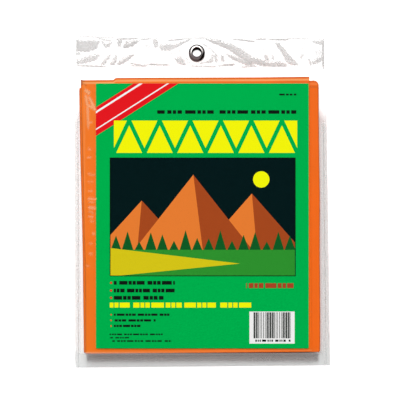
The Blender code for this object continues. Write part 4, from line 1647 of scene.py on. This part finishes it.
@dataclass
class Eyelet:
    """The hanging eyelet with its rolled rim and clinch, and the washer behind, leaning a little."""

    bore: float = 3.9
    wall: float = 0.35
    lean: float = 0.5
    crest: float = 4.2
    funnel: float = 0.7
    rim: float = 7.0
    rim_height: float = 1.3
    rim_base: float = 2.95
    curl: float = 0.22
    clinch: float = 5.6
    clinch_height: float = 0.65
    washer: float = 6.9
    washer_low: float = 0.95
    washer_high: float = 1.45
    washer_gap: float = 0.3
    segments: int = 96

    def turned(self, name: str, profile: list[Point]) -> Piece:
        """Turns a closed profile round the eyelet's axis.

        Args:
            name: the piece's name.
            profile: its corners, a radius and a height each, in mm.

        Returns:
            The ring, leaning as the eyelet does.
        """
        deselect_all()
        radius, level = profile[0]
        across, along = EYELET_AT
        location = (across * MM, along * MM, level * MM)
        ring_size = {"vertices": self.segments, "radius": radius * MM, "fill_type": "NOTHING"}
        bpy.ops.mesh.primitive_circle_add(location=location, **ring_size)
        ring = name_active(name)
        bpy.ops.object.mode_set(mode="EDIT")
        bpy.ops.mesh.select_all(action="SELECT")
        for next_radius, next_level in profile[1:]:
            rise = {"value": (0, 0, (next_level - level) * MM)}
            bpy.ops.mesh.extrude_edges_move(TRANSFORM_OT_translate=rise)
            growth = next_radius / radius
            centre = (across * MM, along * MM, next_level * MM)
            bpy.ops.transform.resize(value=(growth, growth, 1), center_override=centre)
            radius, level = next_radius, next_level
        bpy.ops.mesh.select_all(action="DESELECT")
        bpy.ops.mesh.select_mode(type="EDGE")
        bpy.ops.mesh.select_non_manifold()
        bpy.ops.mesh.bridge_edge_loops()
        bpy.ops.mesh.select_all(action="SELECT")
        bpy.ops.mesh.normals_make_consistent(inside=False)
        bpy.ops.object.mode_set(mode="OBJECT")
        bpy.ops.object.transform_apply(location=True, rotation=True, scale=True)
        corners = corner_array(ring) / MM
        corners[:, 1] += self.lean * (corners[:, 2] - self.rim_base)
        set_corners(ring, corners)
        smooth(ring, 40)
        return ring

    def build_eyelet(self) -> Piece:
        """The eyelet, with its rim curled down onto the film."""
        barrel, top = self.bore + self.wall, self.rim_base + self.rim_height
        flare, reach = self.crest - self.bore, self.rim - self.crest
        profile = [
            (self.bore + flare * (1 - math.cos(angle)), top - self.funnel * (1 - math.sin(angle)))
            for angle in np.linspace(0, np.pi / 2, 9)[:-1]
        ]
        profile += [
            (self.crest + reach * math.sin(angle), self.rim_base + self.rim_height * math.cos(angle))
            for angle in np.linspace(0, np.pi / 2, 19)
        ]
        under = self.rim_base - self.curl
        profile += [(self.rim - 0.08, under), (self.rim - 0.4, under)]
        profile += [(self.rim - 0.6, self.rim_base), (barrel, self.rim_base)]
        profile += [(barrel, self.clinch_height)]
        middle, reach = (self.bore + self.clinch) / 2, (self.clinch - self.bore) / 2
        profile += [
            (middle + reach * math.cos(angle), self.clinch_height * (1 - math.sin(angle)))
            for angle in np.linspace(np.pi, 0, 15)[::-1]
        ]
        return self.turned("rolled_eyelet", profile)

    def build_washer(self) -> Piece:
        """The flat ring, with its outer edge rounded and a shallow dish stamped round its hole."""
        inner = self.bore + self.wall + self.washer_gap
        low, high, radius = self.washer_low, self.washer_high, self.curl
        profile = [(inner, high - 0.08), (inner + 0.3, high)]
        for level, start, end in ((high - radius, 90, 0), (low + radius, 0, -90)):
            for angle in np.radians(np.linspace(start, end, 6)):
                reach = self.washer - radius + radius * math.cos(angle)
                profile.append((reach, level + radius * math.sin(angle)))
        profile += [(inner + 0.4, low), (inner, low + 0.1)]
        return self.turned("clinch_ring", profile)

    def build(self, nickel: Material) -> None:
        """Builds and dresses both rings."""
        for ring, node in ((self.build_eyelet(), "eyelet"), (self.build_washer(), "eyelet_washer")):
            hand_over(ring, nickel, Body.HEADER, Slot.NICKEL, node)


# The tent


@dataclass
class FoldedTent:
    """The tube of orange film: one strip of pressed plies that zigzags through its leaves."""

    width: float = 203.5
    length: float = 234.0
    leaves: int = 12
    leaf: float = 1.143
    gap: float = 0.36
    bottom: float = 0.55
    shift: float = -0.7
    middle_y: float = -12.492
    turn: float = math.radians(0.5)
    fold_wander: float = 2.4
    end_wander: float = 2.2
    end_inset: float = 0.35
    fold_wave: float = 0.12
    ragged: Point = (0.16, 0.08)
    slip: Triple = (1.6, 90.0, 0.5)
    sag: Point = (0.07, 0.05)
    loose_inset: float = 7.6
    inner_inset: float = 4.0
    edge_inset: float = 0.12
    corner: float = 4.2
    sharp_corner: float = 0.8
    edge_round: float = 0.5
    left_edge: tuple[Point, ...] = (
        (-127.0, -101.0),
        (-50.0, -101.6),
        (0.0, -103.0),
        (60.0, -104.2),
        (97.0, -105.0),
    )
    right_edge: tuple[Point, ...] = ((-127.0, 102.1), (0.0, 101.75), (96.0, 100.8))
    card_left: float = -90.0
    step_place: float = 98.4
    notch_row: float = 0.9736
    step: float = 2.1
    head_edge: tuple[Point, ...] = (
        (-103.0, 0.1),
        (-101.5, 0.6),
        (-99.8, 0.05),
        (-73.6, 0.05),
        (-71.3, 1.79),
        (-52.0, 1.79),
        (0.0, 1.51),
        (50.0, 1.24),
        (85.0, 1.37),
    )
    # Painted shade at two head corners of the top leaf, standing in for a curl.
    corner_shades: tuple[Crease, ...] = crease_rows(
        (-102.6, 103.9, -99.4, 103.5, 2.1, 1.0),
        (-102.4, 103.4, -102.0, 99.4, 1.7, 0.9),
        (-101.4, 101.6, -98.0, 98.6, 1.2, 0.45),
        (92.2, 106.6, 95.2, 103.6, 1.3, 0.8),
        lift=0.0,
        blunt=20.0,
    )
    # Painted highlights near the leaves' ends and beside the top leaf's left fold.
    head_highlight: Stripe = Stripe(0.85, 2.4, 0.8)
    mouth_highlight: Stripe = Stripe(0.2, 1.2, 0.9)
    side_highlight: Stripe = Stripe(0.2, -99.9, 0.9, 1.3)
    under_share: float = 0.3
    # Painted shade at the leaves' heads, a painted shadow along the card's upper edge, and painted shade at
    # the folds.
    head_shade: Stripe = Stripe(0.45, 0.0, 1.1, 1.5)
    card_edge_shadow: Stripe = Stripe(0.3, 5.0, 1.1)
    fold_shade: Point = (0.6, 0.5)
    top_columns: int = 84
    edge_columns: int = 16
    leaf_columns: int = 8
    turn_steps: int = 8
    row_shares: tuple[float, ...] = (
        0, 0.0018, 0.004, 0.0065, 0.009, 0.012, 0.0155, 0.019, 0.024, 0.03
    )
    fold_shares: tuple[float, ...] = (0.5, 0.3, 0.2, 0.75, 0.4, 0.1, 0.0, 0.5, 0.0, 0.0, 0.75)
    head_shares: tuple[float, ...] = (0.4, 0.1, 0.6, 0.3, 0.9, 0.5, 0.2, 0.7, 1.0, 0.4, 0.55, 0.0)
    mouth_shares: tuple[float, ...] = (0.2, 0.5, 0.1, 0.6, 0.3, 0.0, 0.5, 0.9, 0.2, 0.7, 0.1, 0.3)

    @property
    def pitch(self) -> float:
        """Height from one leaf to the next."""
        return self.leaf + self.gap

    def rows(self) -> Array:
        """Shares along a leaf, close together at its two ends."""
        end = np.array(self.row_shares)
        return np.sort(np.concatenate([end, np.linspace(0.05, 0.95, 60), [self.notch_row], 1 - end]))

    def columns(self) -> Array:
        """Stops along the strip, one row each: leaf, share along it, share of the turn after it."""
        stops = []
        for leaf in range(self.leaves):
            shares = np.linspace(0, 1, self.leaf_columns + 1)
            if leaf == self.leaves - 1:
                edge = np.linspace(0, 0.05, self.edge_columns + 1)[:-1]
                shares = np.linspace(0.05, 0.95, self.top_columns + 1)
                shares = np.concatenate([edge, shares, 1 - edge[::-1]])
            stops += [(leaf, share, 0) for share in shares]
            if leaf < self.leaves - 1:
                turns = np.linspace(0, 1, self.turn_steps + 1)[1:-1]
                stops += [(leaf, 1, share) for share in turns]
        return np.array(stops, float)

    def rounding(self, ends: Array, radius: float) -> Array:
        """How far a corner of some radius pulls an edge in, at distances from its end."""
        inside = np.clip(radius - ends, 0, radius)
        return radius - np.sqrt(radius**2 - inside**2)

    def fold_places(self, share: Array) -> Array:
        """Where each fold's outer edge lies.

        Args:
            share: shares along the leaves.

        Returns:
            Places across, a row for the inner free edge, for each fold and for the loose edge.
        """
        along = (share - 0.5) * self.length
        world = along + self.middle_y
        aslant = math.sin(self.turn) * along - self.shift
        mouth, head = share * self.length, (1 - share) * self.length
        blunt = self.rounding(mouth, self.sharp_corner)
        folds = [np.full_like(share, self.width / 2 - self.inner_inset)]
        for fold, wander in enumerate(self.fold_shares):
            side = -1 if fold % 2 == 0 else 1
            places, edges = zip(*(self.left_edge if side < 0 else self.right_edge))
            wave = self.fold_wave * np.sin(share * (5 + fold) + fold * 1.7)
            inset = blunt + self.fold_wander * wander + wave
            if side > 0:
                inset = inset + self.rounding(head, self.corner)
            elif fold < self.leaves - 2:
                inset = inset + self.step * ease((world - self.step_place) / 0.5)
            edge = np.interp(world, places, edges)
            folds.append(edge + aslant - side * (inset + self.edge_inset))
        folds.append(np.full_like(share, self.width / 2 - self.loose_inset))
        return np.array(folds)

    def strip_places(self, column: Array, row: Array) -> Array:
        """Places of the strip's corners."""
        leaf, share, turn = self.columns()[column].T
        leaf = leaf.astype(int)
        shares = self.rows()
        middles = self.fold_places(shares)
        sides = np.array([-1 if fold % 2 == 0 else 1 for fold in range(self.leaves - 1)])
        middles[1:-1] -= sides[:, None] * (self.pitch + self.leaf) / 2
        across = blend(middles[leaf, row], middles[leaf + 1, row], share)
        angle = np.pi * turn
        across = across + np.where(leaf % 2 == 0, -1, 1) * self.pitch / 2 * np.sin(angle)
        head = self.length / 2 - self.end_wander * np.array(self.head_shares)
        mouth = -self.length / 2 + self.end_wander * np.array(self.mouth_shares)
        following = np.minimum(leaf + 1, self.leaves - 1)
        top, low = blend(head[leaf], head[following], turn), blend(mouth[leaf], mouth[following], turn)
        loose = leaf == self.leaves - 1
        pushed_in = -np.interp(across, *zip(*self.head_edge))
        (most, width, least), (large, small) = self.slip, self.ragged
        slip = np.where(loose, pushed_in, most * np.clip(across / width, 0, 1) - least)
        ragged = large * np.sin(across / 13 + leaf * 2.1) + small * np.sin(across / 4.7 + leaf)
        ragged = np.where(loose, 0.0, ragged)
        along = blend(low - self.end_inset - ragged, top - slip + ragged, shares[row])
        up = self.leaf / 2 + leaf * self.pitch + self.pitch / 2 * (1 - np.cos(angle))
        up = up + self.sag[0] * np.sin(across / 31 + along / 23 + 0.4)
        up = up + self.sag[1] * np.sin(along / 11 - across / 47)
        cosine, sine = math.cos(self.turn), math.sin(self.turn)
        turned_x = cosine * across - sine * along + self.shift
        turned_y = sine * across + cosine * along + self.middle_y
        return np.column_stack([turned_x, turned_y, up + self.bottom])

    def ends(self, row: Array) -> tuple[Array, Array]:
        """How far each row lies from its leaf's head and mouth ends, in mm."""
        shares = self.rows()[row]
        return (1 - shares) * self.length, shares * self.length

    def strip_tone(self, column: Array, row: Array) -> Array:
        """Painted highlights a little way in from the leaves' ends, full on the top leaf and faint under
        it, and beside the top leaf's left fold.
        """
        loose = self.columns()[column][:, 0] == self.leaves - 1
        head, mouth = self.ends(row)
        band = self.head_highlight.at(head) + self.mouth_highlight.at(mouth)
        # A painted highlight beside the top leaf's left fold.
        pressed = self.side_highlight.at(self.strip_places(column, row)[:, 0])
        return np.where(loose, np.maximum(band, pressed), self.under_share * band)

    def strip_shade(self, column: Array, row: Array) -> Array:
        """Painted shade at the folds and the leaves' heads, a painted shadow along the card's upper edge,
        and dark marks at two head corners standing in for a curl.
        """
        turn = self.columns()[column][:, 2]
        across, along, _ = self.strip_places(column, row).T
        head, _ = self.ends(row)
        tone, power = self.fold_shade
        folds = tone * np.sin(np.pi * turn) ** power
        heads = self.head_shade.at(head) + self.card_edge_shadow.at(head) * (across > self.card_left)
        return np.maximum(np.maximum(folds, heads), creased(across, along, self.corner_shades)[1])

    def build(self, orange: Material) -> None:
        """Builds and dresses the bundle."""
        columns, rows = len(self.columns()) - 1, len(self.rows()) - 1
        layers = {"crease": self.strip_tone, "shade": self.strip_shade}
        bundle = grid_sheet("tent_bundle", columns, rows, self.strip_places, **layers)
        apply_modifier(bundle, "SOLIDIFY", thickness=self.leaf * MM, offset=0)
        ease_edges(bundle, self.edge_round)
        smooth(bundle, 50)
        hand_over(bundle, orange, Body.TENT, Slot.ORANGE, "folded_tent")


# The card and the leaflet


@dataclass
class Insert:
    """The printed card, and the folded leaflet behind it."""

    corner: float = 0.9
    edge: float = 0.07
    leaflet_gauge: float = 0.12
    leaflet_half: Point = (70.9, 99.1)
    leaflet_middle: Triple = (0.95, -12.292, 18.796)
    leaflet_rows: int = 24
    fold_offset: float = 0.21
    overhang: float = 0.35
    wave: float = 0.03

    def build_card(self) -> Piece:
        """The card, cut with slightly rounded corners and eased edges."""
        low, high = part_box("insert_card")
        deselect_all()
        bpy.ops.mesh.primitive_cube_add(size=1, location=(low + high) / 2, scale=high - low)
        card = name_active("printed_card")
        bpy.ops.object.transform_apply(location=True, rotation=True, scale=True)
        clear_selection(card, "EDGE")
        for edge in card.data.edges:
            first, second = (card.data.vertices[corner].co for corner in edge.vertices)
            edge.select = abs(first.z - second.z) > 0.1 * MM
        bpy.ops.object.mode_set(mode="EDIT")
        bpy.ops.mesh.bevel(offset=self.corner * MM, segments=5)
        bpy.ops.object.mode_set(mode="OBJECT")
        ease_edges(card, self.edge)
        smooth(card, 20)
        return card

    def build_leaflet(self) -> Piece:
        """The leaflet, folded once on its left."""
        (wide, tall), middle, offset = self.leaflet_half, self.leaflet_middle, self.fold_offset
        lower = [(reach, -1) for reach in np.linspace(wide, -wide + offset, 13)]
        angles = np.radians(np.linspace(270, 90, 9)[1:-1])
        turn = [(-wide + offset * (1 + math.cos(angle)), math.sin(angle)) for angle in angles]
        upper = [(reach, 1) for reach in np.linspace(-wide + offset, wide, 13)]
        section = np.array(lower + turn + upper, float)

        def place(column: Array, row: Array) -> Array:
            """Places of the leaflet's corners."""
            across, level = section[column].T
            last = (level > 0) * (row == self.leaflet_rows)
            along = blend(-tall, tall, row / self.leaflet_rows) + self.overhang * last
            wave = self.wave * np.sin(along / 17 + across / 29)
            up = middle[2] + level * offset + wave
            return np.column_stack([across + middle[0], along + middle[1], up])

        leaflet = grid_sheet("folded_leaflet", len(section) - 1, self.leaflet_rows, place)
        return give_gauge(leaflet, self.leaflet_gauge)

    def build(self) -> None:
        """Builds and dresses both."""
        low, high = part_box("insert_card")
        middle, half = (low + high) / 2 / MM, (high - low) / 2 / MM
        stock = CardFinish(middle=(middle.x, middle.y), half=(half.x, half.y)).make()
        hand_over(self.build_card(), stock, Body.CARD, Slot.CARD, "insert_card")
        paper = PaperFinish().make()
        hand_over(self.build_leaflet(), paper, Body.LEAFLET, Slot.PAPER, "instruction_leaflet")


# The studio


@dataclass
class Studio:
    """A pale floor, soft light from all round with a softbox over the header, and the camera."""

    camera_place: Triple = (-1.04, 1.3, 1101.0)
    lens: float = 114.0
    sensor: float = 36.0
    key_direction: Triple = (-0.08, 0.48, 1.0)
    key_distance: float = 5000.0
    key_size: float = 2167.0
    key_power: float = 167.0
    world_light: float = 0.72
    dark_side: float = 0.05
    dark_reach: Point = (-0.55, 0.45)
    zenith: float = 0.12
    zenith_reach: Point = (math.cos(math.radians(30)), math.cos(math.radians(17)))
    floor_size: float = 8000.0
    floor_colour: Triple = (0.97, 0.97, 0.97)
    floor_glow: float = 0.45
    glow_edges: Waves = (
        (-1.0, 0.0, 109.8, 0.8),
        (1.0, 0.0142, 109.84, 0.8),
        (0.0092, -1.0, 143.2, 0.8),
        (0.0, 1.0, 72.0, 10.0),
        (-1.0, 0.0, 99.0, 14.0),
    )
    film_layers: int = 40

    def seen(self, bench: Bench) -> Socket:
        """1 for rays that show the background: to the camera, in gloss and through glass."""
        return bench.rays("Camera", "Glossy", "Transmission")

    def outside(self, paint: Paint) -> Socket:
        """0 on the floor under the bundle, 1 just outside the film's edges and under the header."""
        farthest: Value = 0.0
        for right, up, reach, run in self.glow_edges:
            way = (right / run / MM, up / run / MM, 0)
            passed = paint.vector("DOT_PRODUCT", paint.place, way)
            farthest = paint.largest(farthest, paint.calc("SUBTRACT", passed, reach / run))
        return paint.calc("MINIMUM", farthest, 1.0)

    def build_floor(self) -> None:
        """The floor, which stays white round the pack and keeps its shadow."""
        deselect_all()
        bpy.ops.mesh.primitive_plane_add(size=self.floor_size * MM)
        floor = name_active("floor")
        paint = Paint("pale_floor")
        glow = paint.times(self.outside(paint), self.floor_glow)
        sockets = {
            "Base Color": self.floor_colour,
            "Roughness": 0.9,
            "Specular IOR Level": 0.0,
            "Emission Color": (1, 1, 1),
            "Emission Strength": paint.times(self.seen(paint), glow),
        }
        dress(floor, paint.finish(sockets))

    def build_world(self) -> None:
        """Light from all round but the mouth's side, dim straight overhead where the camera stands."""
        world = bpy.data.worlds.new("studio")
        world.use_nodes = True
        bench = Bench(world.node_tree)
        background = world.node_tree.nodes["Background"]
        _, along, up = bench.parts(bench.add("TexCoord").outputs["Generated"])
        ramps = ((up, *self.zenith_reach, 1.0, self.zenith), (along, *self.dark_reach, self.dark_side, 1.0))
        ends = ("Value", "From Min", "From Max", "To Min", "To Max")
        level: Value = 1.0
        for ramp in ramps:
            reading = bench.add("MapRange", dict(zip(ends, ramp)), interpolation_type="SMOOTHSTEP")
            level = bench.times(level, reading.outputs[0])
        lit = bench.times(level, bench.between(self.seen(bench), self.world_light, 1.0))
        shown = bench.between(bench.rays("Camera"), lit, 1.0)
        bench.feed(background.inputs["Strength"], shown)
        bench.feed(background.inputs["Color"], (1, 1, 1))
        bpy.context.scene.world = world

    def build_key(self) -> None:
        """The softbox."""
        place = Vector(self.key_direction).normalized() * self.key_distance * MM
        bpy.ops.object.light_add(type="AREA", location=place)
        lamp = name_active("softbox")
        lamp.data.shape = "SQUARE"
        lamp.data.size = self.key_size * MM
        lamp.data.energy = self.key_power
        lamp.rotation_euler = (-place).to_track_quat("-Z", "Y").to_euler()

    def build_camera(self) -> None:
        """The camera, straight over the pack."""
        place = Vector(self.camera_place) * MM
        bpy.ops.object.camera_add(location=place, rotation=(0, 0, 0))
        camera = bpy.context.active_object
        camera.data.lens = self.lens
        camera.data.sensor_width = self.sensor
        bpy.context.scene.camera = camera

    def build(self) -> None:
        """Builds the studio."""
        self.build_camera()
        self.build_floor()
        self.build_world()
        self.build_key()
        bpy.context.scene.view_settings.view_transform = "Standard"
        bpy.context.scene.cycles.transparent_max_bounces = self.film_layers
        log.info("studio: camera, floor, world and softbox")


def main() -> None:
    """Builds the studio and every sub-assembly round the frame."""
    logging.basicConfig(level=logging.INFO, format="%(message)s")
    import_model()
    deselect_all()
    Studio().build()
    build_effects()
    clear, fused, crinkled, embossed = film_finishes()
    Pouch().build(clear, fused)
    Header().build(crinkled, embossed, clear)
    Eyelet().build(NickelFinish().make())
    FoldedTent().build(TentFinish().make())
    Insert().build()


if __name__ == "__main__":
    main()
